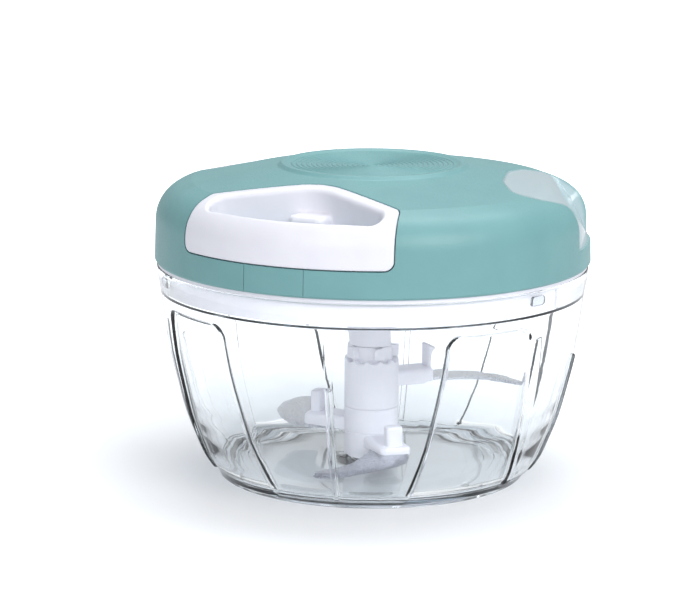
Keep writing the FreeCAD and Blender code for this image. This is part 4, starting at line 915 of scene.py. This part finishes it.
def post(name, radius, turn, ring, low, high):
    """An upright rod at a distance from the axis."""
    rod = turned_piece(name, [(0, low), (radius, low), (radius, high), (0, high)], 28)
    centre = around(ring, turn, 0.0).reshape(3)
    rod.data.transform(Matrix.Translation(Vector(centre) * MM))
    return rod


def joined(pieces):
    """Several separate closed shapes as one mesh."""
    shape = bmesh.new()
    for piece in pieces:
        shape.from_mesh(piece.data)
    result = pieces[0]
    shape.to_mesh(result.data)
    shape.free()
    for piece in pieces[1:]:
        bpy.data.objects.remove(piece)
    return result


def build_cover():
    """The mint cover: skin, scoops, handle pocket, screw posts and the axle's boss."""
    cover = lid_solid("cover_shell")
    walls = lid_solid("pocket_walls")
    cavity = turned_piece("cavity", rounded_line([
        (0, lid_edge - 1), (cavity_radius, lid_edge - 1), (cavity_radius - 0.6, lid_edge + 4.1, 10),
        (cavity_radius - 3.3, lid_top - 13.2, 8), (crease_radius - 3.6, lid_top - 7.4, 5),
        (disc_radius, lid_top - 4.74), (disc_radius - 1.6, roof_under), (0, roof_under)]), 160)
    for side in (1, -1):
        combined(cavity, scoop_back(side), "DIFFERENCE")
    combined(cover, cavity, "DIFFERENCE")
    pocket_out = pocket_fit + pocket_wall
    plan = rounded_line(handle_plan(pocket_out, pocket_out, handle_corner + pocket_out), closed=True)
    under = pocket_floor - pocket_bed
    combined(walls, prism("pocket_block", [(plan, under), (plan, lid_top + 2)]), "INTERSECT")
    combined(cover, walls, "UNION")
    posts = [post("post", post_radius, 45 + 90 * k, cover_screw_ring, rim_height + 2, lid_top - 6.1)
             for k in range(4)]
    posts += [post("post", post_radius, 60 + 120 * k, housing_screw_ring, lid_edge + 8, lid_top - 3.5)
              for k in range(3)]
    posts.append(post("post", 6, 0, 0, roof_under - 3.8, roof_under + 1))
    combined(cover, joined(posts), "UNION")
    pilots = [post("pilot", pilot_radius, 45 + 90 * k, cover_screw_ring, rim_height + 1.9, rim_height + 9.3)
              for k in range(4)]
    pilots += [post("pilot", pilot_radius, 60 + 120 * k, housing_screw_ring, lid_edge + 7.9, lid_edge + 15.7)
               for k in range(3)]
    pilots.append(post("pilot", 3, 0, 0, roof_under - 3.9, roof_under))
    combined(cover, joined(pilots), "DIFFERENCE")
    corner = pocket_corner + pocket_fit
    levels = []
    for step in range(7):
        angle = math.radians(90 * step / 6)
        inset = pocket_fit - corner * (1 - math.sin(angle))
        plan = rounded_line(handle_plan(inset, inset, handle_corner + inset), closed=True)
        levels.append((plan, pocket_floor + corner * (1 - math.cos(angle))))
    levels.append((levels[-1][0], lid_top + 2))
    combined(cover, prism("pocket_void", levels), "DIFFERENCE")
    notch = block("insert_notch", (-insert_half, -lid_radius - 4, lid_edge - 2),
                  (insert_half, -lid_radius + 8, under))
    combined(cover, notch, "DIFFERENCE")
    lip_room = block("lip_room", (-insert_half, -lid_radius - 4, pocket_floor - 1.65),
                     (insert_half, -lid_radius + 3, pocket_floor + 0.15))
    return combined(cover, lip_room, "DIFFERENCE")


def add_polish_and_painted_reflection(piece):
    """Marks the scoops for the finish: they are polished, and their paler colour is a painted reflection."""
    points = np.empty(len(piece.data.vertices) * 3)
    piece.data.vertices.foreach_get("co", points)
    points = points.reshape(-1, 3) / MM
    radius = np.hypot(points[:, 0], points[:, 1])
    skin = outline_distance(np.stack([radius, points[:, 2]], -1),
                            np.concatenate([lid_outline, [(0, lid_edge)]]))
    polish_and_painted_reflection = np.maximum(scoop_share(points, 1), scoop_share(points, -1)) * smooth_step(-0.05, -0.3, skin)
    polish_and_painted_reflection *= radius > scoop_reach - 1
    attribute = piece.data.attributes.new("polish_and_painted_reflection", "FLOAT", "POINT")
    attribute.data.foreach_set("value", polish_and_painted_reflection.astype(np.float32))


cover = build_cover()
add_polish_and_painted_reflection(cover)
finish_piece(cover, "lid", cover_plastic, ["top_cover"], crease=28)


# Pull handle

def build_handle():
    """The white loop: flush with the lid outside, soft inside, with a shelf and the cord's block."""
    skin = DistanceMap(np.concatenate([lid_outline[:-2], [(lid_radius, lid_edge - 10), (0, lid_edge - 10)]]),
                       (0, handle_low.z - 4), (lid_radius + 3, lid_top + 3))
    corners = (-42, -lid_radius - 3), (42, -handle_back + 4)
    plan = DistanceMap(rounded_line(handle_plan(0, 0, handle_corner), closed=True), *corners)
    opening = DistanceMap(rounded_line(opening_plan(), closed=True), *corners)
    bottom = handle_low.z
    shelf_top, shelf_front, block_top = bottom + 1.8, handle_back + back_wall + 7.5, bottom + 11.0

    def distance(x, y, z):
        loop = rounded_common(plan(x, y), bottom - z, pocket_corner)
        loop = rounded_common(loop, skin(np.hypot(x, y), z), 0.35)
        open_space = opening(x, y)
        loop = rounded_common(loop, -open_space, 1.5)
        shelf = np.maximum(open_space - 1.5, np.abs(z - (bottom + shelf_top) / 2) - 0.9)
        front = -y - shelf_front
        shape = rounded_union(loop, np.maximum(shelf, front), 1.2)
        nub = rounded_common(np.abs(x) - 5.7, front, 2.5)
        nub = rounded_common(nub, z - block_top, 1.6)
        nub = np.maximum(np.maximum(nub, bottom - z), handle_back + 1.6 + y)
        shape = rounded_union(shape, nub, 0.9)
        hole = np.maximum(np.hypot(x, z - cord_level) - 1.15, -y - shelf_front + 3)
        return np.maximum(shape, -hole)

    low = (-40.01, -lid_radius - 1.01, bottom - 1.01)
    handle = solid_piece("handle_loop", distance, low, (40, -handle_back + 2, lid_top + 1), 0.42)
    for corner in handle.data.vertices:
        corner.co.z = max(corner.co.z, bottom * MM)
    return closed(handle)


finish_piece(build_handle(), "handle", white_plastic, ["pull_handle"], crease=0)


# What repeats or follows a path, made by geometry nodes

class Recipe:
    """A geometry node tree with named inputs, worked out once into a plain mesh."""

    def __init__(self, name):
        self.tree = bpy.data.node_groups.new(name, "GeometryNodeTree")
        for side in ("INPUT", "OUTPUT"):
            self.tree.interface.new_socket("Geometry", in_out=side, socket_type="NodeSocketGeometry")
        self.entry = self.tree.nodes.new("NodeGroupInput")
        self.values = {}

    def value(self, name, amount, kind="Float"):
        """A named input of the tree and what this piece gives it."""
        socket = self.tree.interface.new_socket(name, in_out="INPUT", socket_type="NodeSocket" + kind)
        self.values[socket.identifier] = amount
        return next(output for output in self.entry.outputs if output.identifier == socket.identifier)

    def node(self, kind, links=None, **settings):
        """A node with its settings, and links or plain values for its inputs."""
        node = self.tree.nodes.new(kind)
        for name, value in settings.items():
            setattr(node, name, value)
        for name, source in (links or {}).items():
            if isinstance(source, bpy.types.NodeSocket):
                self.tree.links.new(source, node.inputs[name])
            else:
                node.inputs[name].default_value = source
        return node

    def number(self, operation, first, second):
        """Two numbers worked into one."""
        node = self.node("ShaderNodeMath", {0: first, 1: second}, operation=operation)
        return node.outputs["Value"]

    def turned_points(self, count, ring, height, first_turn):
        """Points evenly round the axis, the first at a turn from the handle side."""
        circle = self.node("GeometryNodeMeshCircle", {"Vertices": count, "Radius": ring})
        place = self.node("ShaderNodeCombineXYZ", {"Z": height})
        moved = self.node("GeometryNodeTransform", {
            "Geometry": circle.outputs["Mesh"], "Translation": place.outputs["Vector"],
            "Rotation": Euler((0, 0, math.radians(first_turn - 90)))})
        return moved.outputs["Geometry"]

    def cord(self, curve, radius, sides):
        """A round cord along a curve, closed at its ends."""
        section = self.node("GeometryNodeCurvePrimitiveCircle", {"Resolution": sides, "Radius": radius})
        swept = self.node("GeometryNodeCurveToMesh", {
            "Curve": curve, "Profile Curve": section.outputs["Curve"], "Fill Caps": True})
        return swept.outputs["Mesh"]

    def make(self, geometry, material, piece):
        """Works the tree out on a piece, which keeps only the plain mesh."""
        real = self.node("GeometryNodeRealizeInstances", {"Geometry": geometry})
        dress = self.node("GeometryNodeSetMaterial", {"Geometry": real.outputs["Geometry"]})
        dress.inputs["Material"].default_value = material
        end = self.tree.nodes.new("NodeGroupOutput")
        self.tree.links.new(dress.outputs["Geometry"], end.inputs["Geometry"])
        step = piece.modifiers.new("recipe", "NODES")
        step.node_group = self.tree
        for identifier, amount in self.values.items():
            step[identifier] = amount
        return outward(applied(piece))


def empty_piece(name):
    """A piece for a recipe that makes all of its mesh."""
    return new_piece(name, [(0, 0, 0)], [])


def round_the_axis(piece, name, count, ring, height, first_turn, material):
    """Copies of a piece made at the origin, evenly round the axis and all facing the same way."""
    recipe = Recipe(name)
    points = recipe.turned_points(recipe.value("Count", count, "Int"), recipe.value("Ring", ring * MM),
                                  recipe.value("Height", height * MM), first_turn)
    copies = recipe.node("GeometryNodeInstanceOnPoints", {
        "Points": points, "Instance": recipe.entry.outputs["Geometry"]})
    return recipe.make(copies.outputs["Instances"], material, piece)


def pan_screw(name):
    """A pan-head screw that points up, its head's underside at the origin, with a slot and thread ridges."""
    section = [(0, -1.6), (1.9, -1.6), (2.55, -1.35), (2.8, -0.9), (2.8, 0), (1.5, 0)]
    for turn in range(8):
        section += [(1.5, 0.4 + turn), (1.16, 0.75 + turn), (1.5, 1.1 + turn)]
    section += [(1.1, 8.9), (0.6, 9.0), (0, 9.0)]
    screw = turned_piece(name, section, 24)
    return combined(screw, block("slot", (-4, -0.3, -2), (4, 0.3, -0.8)), "DIFFERENCE")


cover_screws = round_the_axis(pan_screw("cover_screw_set"), "cover_screw_set", 4, cover_screw_ring,
                              rim_height, 45, screw_steel)
finish_piece(cover_screws, "lid", screw_steel, ["cover_screws"])
housing_screws = round_the_axis(pan_screw("housing_screw_set"), "housing_screw_set", 3, housing_screw_ring,
                                housing_screw_seat, 60, screw_steel)
finish_piece(housing_screws, "lid", screw_steel, ["housing_screws"])


def build_ridges():
    """Fine round ridges, one inside the other, in the dish of the lid's raised disc."""
    recipe = Recipe("disc_ridges")
    count = recipe.value("Ridges", 16, "Int")
    first, pitch = recipe.value("First radius", 1.6 * MM), recipe.value("Pitch", 1.5 * MM)
    thickness = recipe.value("Thickness", 0.42 * MM)
    base = recipe.value("Base height", (dish_floor - 0.1) * MM)
    rise = recipe.value("Rise per ridge", 0.036 * MM)
    index = recipe.node("GeometryNodeInputIndex").outputs["Index"]
    start = recipe.node("ShaderNodeCombineXYZ", {"Z": base})
    offset = recipe.node("ShaderNodeCombineXYZ", {"Z": rise})
    line = recipe.node("GeometryNodeMeshLine", {
        "Count": count, "Start Location": start.outputs["Vector"], "Offset": offset.outputs["Vector"]})
    radius = recipe.number("ADD", first, recipe.number("MULTIPLY", pitch, index))
    scale = recipe.node("ShaderNodeCombineXYZ", {"X": radius, "Y": radius, "Z": 1.0})
    circle = recipe.node("GeometryNodeCurvePrimitiveCircle", {"Resolution": 96, "Radius": 1.0})
    circles = recipe.node("GeometryNodeInstanceOnPoints", {
        "Points": line.outputs["Mesh"], "Instance": circle.outputs["Curve"],
        "Scale": scale.outputs["Vector"]})
    curves = recipe.node("GeometryNodeRealizeInstances", {"Geometry": circles.outputs["Instances"]})
    ridges = recipe.cord(curves.outputs["Geometry"], thickness, 6)
    return recipe.make(ridges, cover_plastic, empty_piece("disc_ridges"))


finish_piece(build_ridges(), "lid", cover_plastic, crease=0)


def build_windings():
    """The pull cord's turns on the reel."""
    low, high = cad_box("cord_windings")
    radius = (high.x - drum_radius) / 2
    recipe = Recipe("cord_turns")
    spiral = recipe.node("GeometryNodeCurveSpiral", {
        "Resolution": 64, "Rotations": recipe.value("Turns", 2.0),
        "Start Radius": recipe.value("Radius", (drum_radius + radius) * MM),
        "End Radius": (drum_radius + radius) * MM,
        "Height": recipe.value("Height", (high.z - low.z - radius * 2) * MM), "Reverse": False})
    lifted = recipe.node("GeometryNodeTransform", {"Geometry": spiral.outputs["Curve"],
                                                   "Translation": (0, 0, (low.z + radius) * MM)})
    turns = recipe.cord(lifted.outputs["Geometry"], radius * MM * 0.98, 10)
    return recipe.make(turns, cord_fibre, empty_piece("cord_turns"))


finish_piece(build_windings(), "reel", cord_fibre, ["cord_windings"], crease=0)


def build_mainspring():
    """The flat steel strip that winds the cord back."""
    low, high = cad_box("mainspring")
    recipe = Recipe("spring_strip")
    spiral = recipe.node("GeometryNodeCurveSpiral", {
        "Resolution": 48, "Rotations": recipe.value("Turns", 7.0),
        "Start Radius": recipe.value("Inside", 5.4 * MM),
        "End Radius": recipe.value("Outside", (high.x - 1.0) * MM), "Height": 0.0})
    upright = recipe.node("GeometryNodeSetCurveNormal", {"Curve": spiral.outputs["Curve"]})
    if "Mode" in upright.inputs:
        upright.inputs["Mode"].default_value = "Z Up"
    else:
        upright.mode = "Z_UP"
    section = recipe.node("GeometryNodeCurvePrimitiveQuadrilateral", {
        "Width": recipe.value("Thickness", 0.4 * MM),
        "Height": recipe.value("Strip", (high.z - low.z - 0.1) * MM)})
    strip = recipe.node("GeometryNodeCurveToMesh", {
        "Curve": upright.outputs["Curve"], "Profile Curve": section.outputs["Curve"], "Fill Caps": True})
    lifted = recipe.node("GeometryNodeTransform", {"Geometry": strip.outputs["Mesh"],
                                                   "Translation": (0, 0, (low.z + high.z) / 2 * MM)})
    return recipe.make(lifted.outputs["Geometry"], spring_steel, empty_piece("spring_strip"))


finish_piece(build_mainspring(), "reel", spring_steel, ["mainspring"])


def build_keys():
    """The bowl's three lid keys, low pads on the inside of its rim."""
    width, height = key_half_width, key_half_height
    outline = rounded_line([(-width, -height, 0.9), (width, -height, 0.9), (width, height, 0.9),
                            (-width, height, 0.9)], closed=True)
    face = rim_radius - bowl_wall - 0.68
    rows = []
    for depth, inset in ((face + 1.4, 0.0), (face + 0.25, 0.0), (face + 0.05, 0.1), (face, 0.3)):
        rows.append([(x * (1 - inset / width), -math.sqrt(depth ** 2 - x ** 2), z * (1 - inset / height))
                     for x, z in outline])
    key = stacked("lid_keys", rows)
    recipe = Recipe("lid_keys")
    count = recipe.value("Count", 3, "Int")
    line = recipe.node("GeometryNodeMeshLine", {"Count": count, "Offset": (0, 0, 0)})
    index = recipe.node("GeometryNodeInputIndex").outputs["Index"]
    further = recipe.number("MULTIPLY", index, math.radians(120))
    turn = recipe.number("ADD", recipe.value("First turn", key_turn), further)
    spin = recipe.node("ShaderNodeCombineXYZ", {"Z": turn})
    copies = recipe.node("GeometryNodeInstanceOnPoints", {
        "Points": line.outputs["Mesh"], "Instance": recipe.entry.outputs["Geometry"],
        "Rotation": spin.outputs["Vector"]})
    lifted = recipe.node("GeometryNodeTransform", {
        "Geometry": copies.outputs["Instances"], "Translation": (0, 0, key_level * MM)})
    return recipe.make(lifted.outputs["Geometry"], bowl_plastic, key)


finish_piece(build_keys(), "bowl", bowl_plastic, crease=40)


# Blade stack: three sleeves with arms and stubs, and their blades

sleeve_radius = 8.2
shaft_radius = 6.3
blade_tilt = math.radians(1.5)
blade_scale = (foot_radius + 5 - bowl_wall - 1.7) / 47.3
blade_half_thickness = 0.45
arm_half = 5.0
stub_half = 2.6
stub_thickness = 3.4
grind_width = 1.9

# Each sleeve's lower and upper end; its arm's lift, height and reach; its stub's step in from the
# arm's end, its height and the slope of its top; and the turn of the arm and the blade
stack = {
    "lower": dict(
        base=boss_top - 0.45, top=boss_top + 7.8, arm=(4.15, 3.5, 21.0), stub=(1.4, 6.4, 0.0), turn=47.0),
    "middle": dict(
        base=boss_top + 7.8, top=boss_top + 16.1, arm=(0.4, 4.1, 21.0), stub=(1.4, 6.4, 0.0), turn=-90.1),
    "upper": dict(
        base=boss_top + 16.1, top=boss_top + 30.9, arm=(5.8, 4.4, 20.9), stub=(0.15, 7.3, 1.6), turn=138.5),
}

# Each blade's plan: out along its arm, and across it, with the rounding of its corners
blade_plans = {
    "lower": [(10.5, 4.2), (21.0, 4.6, 10), (27.5, -1.0, 20), (33.0, -12.5, 30), (35.6, -23.0, 12),
              (34.2, -29.9, 2.5), (31.0, -30.2, 0.8), (27.6, -20.5, 24), (22.5, -13.0, 20), (15.5, -7.0, 10),
              (10.5, -4.6)],
    "middle": [(10.5, 4.6), (18.5, 6.8, 6), (24.5, 5.0, 10), (31.5, -0.8, 20), (37.0, -8.5, 14),
               (38.9, -16.0, 12), (37.5, -23.5, 5), (33.2, -27.2, 1.0), (31.4, -26.2, 0.8),
               (29.0, -17.5, 22), (21.5, -9.0, 20), (10.5, -4.6)],
    "upper": [(10.5, 4.6), (20.0, 8.0, 8), (30.0, 8.6, 14), (38.0, 4.6, 12), (42.0, -4.5, 25),
              (44.2, -14.0, 14), (43.8, -19.3, 1.2), (42.2, -19.9, 0.8), (37.0, -9.5, 18), (31.0, -4.0, 14),
              (20.0, -2.2, 20), (10.5, -4.4)],
}


def soft_prism(name, plan_at, low, high, rounding, slope=0.0):
    """An upright solid whose top edge is rounded; plan_at gives its outline for an inset."""
    levels = [(plan_at(0.2), low), (plan_at(0.0), low + 0.2)]
    for step in range(6):
        angle = math.radians(18 * step)
        levels.append((plan_at(rounding * (1 - math.cos(angle))), high - rounding * (1 - math.sin(angle))))
    piece = prism(name, levels)
    if slope:
        outer = min(point[1] for point in plan_at(0.0))
        for vertex in piece.data.vertices:
            if vertex.co.z > (low + 2) * MM:
                share = max(0.0, min(1.0, 1 - (vertex.co.y / MM - outer) / stub_thickness))
                vertex.co.z -= slope * MM * share
    return piece


def hub_ring(name, low, high, scallops=0):
    """A ring round the shaft; scallops are cut across its top edge."""
    columns = 168 if scallops else 72
    turns = np.arange(columns) * 360 / columns
    rows = []
    for radius, down in ((shaft_radius, None), (sleeve_radius, None), (sleeve_radius, 0.35),
                         (sleeve_radius - 0.35, 0.0), (shaft_radius, 0.0)):
        height = np.full(columns, low if down is None else high - down)
        if scallops and down is not None:
            beside = radius * np.sin(np.radians((turns + 180 / scallops) % (360 / scallops) - 180 / scallops))
            height -= np.maximum(np.sqrt(np.maximum(2.3 ** 2 - beside ** 2, 0)) - 1.2, 0)
        rows.append(around(radius, turns, height))
    return outward(new_piece(name, np.concatenate(rows), ring_faces(len(rows), columns)))


def build_sleeve(name, base, top, arm, stub, turn):
    """One sleeve of the stack with its arm and its upright stub."""
    lift, arm_height, reach = arm
    inset, rise, slope = stub

    def arm_plan(shrink):
        half, corner = arm_half - shrink, 2.2 - shrink * 0.9
        end = -reach + shrink
        return rounded_line([(-half, 0), (half, 0), (half, end, corner), (-half, end, corner)], closed=True)

    def stub_plan(shrink):
        half, outer = stub_half - shrink, reach - inset - shrink
        inner = reach - inset - stub_thickness + shrink
        corner = 1.1 - shrink * 0.8
        return rounded_line([(-half, -inner, corner), (half, -inner, corner), (half, -outer, corner),
                             (-half, -outer, corner)], closed=True)

    low = base + lift
    sleeve = soft_prism(name + "_sleeve_body", arm_plan, low, low + arm_height, 1.7)
    combined(sleeve, soft_prism("stub", stub_plan, low + 0.5, low + arm_height + rise, 0.9, slope), "UNION")
    sleeve.data.transform(Matrix.Rotation(math.radians(turn), 4, "Z"))
    inside, below, above = sleeve_radius - 0.6, low - 2, low + arm_height + 2
    bore = turned_piece("bore", [(0, below), (inside, below), (inside, above), (0, above)], 72)
    combined(sleeve, bore, "DIFFERENCE")
    return combined(sleeve, hub_ring("hub", base, top, 12 if name == "upper" else 0), "UNION")


def build_blade(name, base, arm, turn):
    """A flat sickle with its outer edge ground to a bevel, the tip side a little higher."""
    level = base + arm[0] + 0.2
    corners = [tuple(number * blade_scale for number in corner) for corner in blade_plans[name]]
    plan = rounded_line(corners, closed=True, arc=5)
    plan = divided(np.concatenate([plan, plan[:1]]), 1.2)[:-1]
    ahead, behind = np.roll(plan, -1, axis=0), np.roll(plan, 1, axis=0)
    along = (ahead - behind) / np.linalg.norm(ahead - behind, axis=1, keepdims=True)
    area = np.sum(plan[:, 0] * ahead[:, 1] - ahead[:, 0] * plan[:, 1])
    inward = np.stack([-along[:, 1], along[:, 0]], -1) * math.copysign(1, area)
    place = np.arange(len(plan))
    tip = place[np.argmin(plan[:, 1])]
    start = place[np.argmin(np.linalg.norm(plan - np.array(corners[1][:2]), axis=1))]
    share = smooth_step(start, start + 5, place) * smooth_step(tip + 1, tip - 4, place)
    thick = blade_half_thickness
    angle = math.radians(turn - 90)
    points = []
    for ground, height in ((0.0, -thick), (0.0, -thick + 0.12), (1.0, thick - 0.02), (1.08, thick)):
        edge = plan + inward * (0.06 * (height > 0) + grind_width * ground * share)[:, None]
        up = level + height - edge[:, 1] * math.tan(blade_tilt)
        points.append(np.stack([edge[:, 0] * math.cos(angle) - edge[:, 1] * math.sin(angle),
                                edge[:, 0] * math.sin(angle) + edge[:, 1] * math.cos(angle), up], -1))
    return stacked(name + "_blade_body", points)


for name, facts in stack.items():
    sleeve = build_sleeve(name, **facts)
    finish_piece(sleeve, "blades", white_plastic, ["sleeve_" + name], crease=35)
    blade = build_blade(name, facts["base"], facts["arm"], facts["turn"])
    finish_piece(blade, "blades", blade_steel, ["blade_" + name], crease=18)


# The pull cord between the reel and the handle

def build_cord_run():
    """The cord's run from the reel through the eyelet into the handle's block, with its laid strands."""
    low, high = cad_box("cord_run")
    radius, level = (high.z - low.z) / 2, (high.z + low.z) / 2
    wound, mouth = drum_radius + radius, 27.0
    leaving = math.acos(wound / mouth)
    path = rounded_line([(-wound * math.sin(leaving), -wound * math.cos(leaving)), (0, -mouth, radius * 2.6),
                         (0, low.y)], arc=6)
    path = divided(path, 0.5)
    path = path[np.linalg.norm(path, axis=1) > 21.9]
    along = np.gradient(path, axis=0)
    along /= np.linalg.norm(along, axis=1, keepdims=True)
    length = np.concatenate([[0], np.cumsum(np.linalg.norm(np.diff(path, axis=0), axis=1))])
    turns = np.arange(15) * 360 / 15
    rows = []
    for centre, (ahead_x, ahead_y), way in zip(path, along, length):
        width = radius * (0.93 + 0.07 * np.cos(np.radians(3 * turns) + way * 1.6))
        across, up = width * np.cos(np.radians(turns)), width * np.sin(np.radians(turns))
        rows.append(np.stack([centre[0] - ahead_y * across, centre[1] + ahead_x * across, level + up], -1))
    points = np.concatenate([[[*path[0], level]]] + rows + [[[*path[-1], level]]])
    return outward(new_piece("cord_to_handle", points, lathe_faces(len(rows), len(turns), True, True)))


cord_to_handle = build_cord_run()
cord_to_handle.data.materials.append(cord_fibre)
cord_to_handle.data.shade_smooth()
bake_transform(cord_to_handle)
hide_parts("cord_run")

dress_nodes()


# Camera, lights and surroundings

def direction(turn, rise):
    """The way out from the axis at a turn from the handle side and a rise above level, in degrees."""
    turn, rise = math.radians(turn), math.radians(rise)
    return Vector((math.sin(turn) * math.cos(rise), -math.cos(turn) * math.cos(rise), math.sin(rise)))


def place_camera():
    """The photograph's view: the handle to the left of the middle, seen from a little above."""
    distance, pivot = 0.85, Vector((0, 0, 0.065))
    towards = direction(25.5, 10.8)
    data = bpy.data.cameras.new("camera")
    data.sensor_fit = "HORIZONTAL"
    data.sensor_width = 36
    data.lens = 146.2
    camera = bpy.data.objects.new("camera", data)
    bpy.context.scene.collection.objects.link(camera)
    camera.location = pivot + towards * distance
    aim = (-towards).to_track_quat("-Z", "Y")
    offset = Euler((math.radians(-0.866), math.radians(0.455), math.radians(0.45))).to_quaternion()
    camera.rotation_mode = "QUATERNION"
    camera.rotation_quaternion = aim @ offset
    bpy.context.scene.camera = camera


def soft_box(name, turn, rise, distance, width, height, watts, tint=(1, 1, 1)):
    """A large soft lamp that faces the chopper."""
    data = bpy.data.lights.new(name, "AREA")
    data.shape = "RECTANGLE"
    data.size, data.size_y = width, height
    data.energy = watts
    data.color = tint
    lamp = bpy.data.objects.new(name, data)
    bpy.context.scene.collection.objects.link(lamp)
    away = direction(turn, rise)
    lamp.location = Vector((0, 0, 0.06)) + away * distance
    lamp.rotation_mode = "QUATERNION"
    lamp.rotation_quaternion = away.to_track_quat("Z", "Y")


def seen_share(tree):
    """1 for what the camera sees straight or through the clear plastic, less in gloss."""
    path = tree.nodes.new("ShaderNodeLightPath")
    gloss = tree.nodes.new("ShaderNodeMath")
    gloss.operation = "MULTIPLY"
    gloss.inputs[1].default_value = 0.25
    tree.links.new(path.outputs["Is Glossy Ray"], gloss.inputs[0])
    total = gloss.outputs["Value"]
    for name in ("Is Camera Ray", "Is Transmission Ray"):
        most = tree.nodes.new("ShaderNodeMath")
        most.operation = "MAXIMUM"
        tree.links.new(total, most.inputs[0])
        tree.links.new(path.outputs[name], most.inputs[1])
        total = most.outputs["Value"]
    return total


def place_world():
    """Even pale light all round, and white where the camera sees past the floor."""
    world = bpy.data.worlds.new("studio")
    bpy.context.scene.world = world
    world.use_nodes = True
    tree = world.node_tree
    light = tree.nodes["Background"]
    light.inputs["Color"].default_value = (0.93, 0.96, 1.0, 1)
    light.inputs["Strength"].default_value = 0.32
    backdrop = tree.nodes.new("ShaderNodeBackground")
    backdrop.inputs["Color"].default_value = (1, 1, 1, 1)
    backdrop.inputs["Strength"].default_value = 1.0
    sky = mixed(tree, seen_share(tree), light.outputs["Background"], backdrop.outputs["Background"])
    tree.links.new(sky, tree.nodes["World Output"].inputs["Surface"])


def place_floor():
    """A plain pale floor that keeps the chopper's shadow and is white to the camera elsewhere; its glow is
    weaker near the chopper, which paints extra shade under and round it.
    """
    half = 3000
    floor = new_piece("floor", [(-half, -half, -0.05), (half, -half, -0.05), (half, half, -0.05),
                                (-half, half, -0.05)], [(0, 1, 2, 3)])
    finish = Finish("pale_floor", Roughness=0.9, Base_Color=colour(236, 237, 239))
    finish.shader.inputs["Specular IOR Level"].default_value = 0.1
    # The glow is weak within a few centimetres of the axis and full further out: the darker floor under and
    # round the chopper is painted shade on top of the real shadow.
    backdrop_glow_and_painted_shade = finish.add("ShaderNodeEmission")
    distance = finish.add("ShaderNodeVectorMath", operation="LENGTH")
    finish.link(finish.place, distance.inputs[0])
    finish.link(finish.spread(distance.outputs["Value"], 0.1, 0.97, 0.05, 0.23), backdrop_glow_and_painted_shade.inputs["Strength"])
    share = seen_share(finish.tree)
    add = finish.add("ShaderNodeAddShader")
    finish.link(finish.shader.outputs["BSDF"], add.inputs[0])
    finish.link(backdrop_glow_and_painted_shade.outputs["Emission"], add.inputs[1])
    surface = mixed(finish.tree, share, finish.shader.outputs["BSDF"], add.outputs["Shader"])
    finish.link(surface, finish.output.inputs["Surface"])
    floor.data.materials.append(finish.material)
    floor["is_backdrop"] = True


bpy.context.scene.view_settings.view_transform = "Standard"
place_camera()
place_world()
place_floor()
soft_box("key_light", 62, 34, 1.1, 0.6, 0.4, 6.0)
soft_box("front_light", 2, 30, 1.2, 0.7, 0.5, 3.0, (0.97, 0.98, 1))
soft_box("top_light", 190, 70, 1.0, 0.9, 0.6, 6.5, (0.93, 0.97, 1))

({"cad": [list(corner) for corner in cad_bounds],
           "visual": [list(corner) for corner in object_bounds()]})
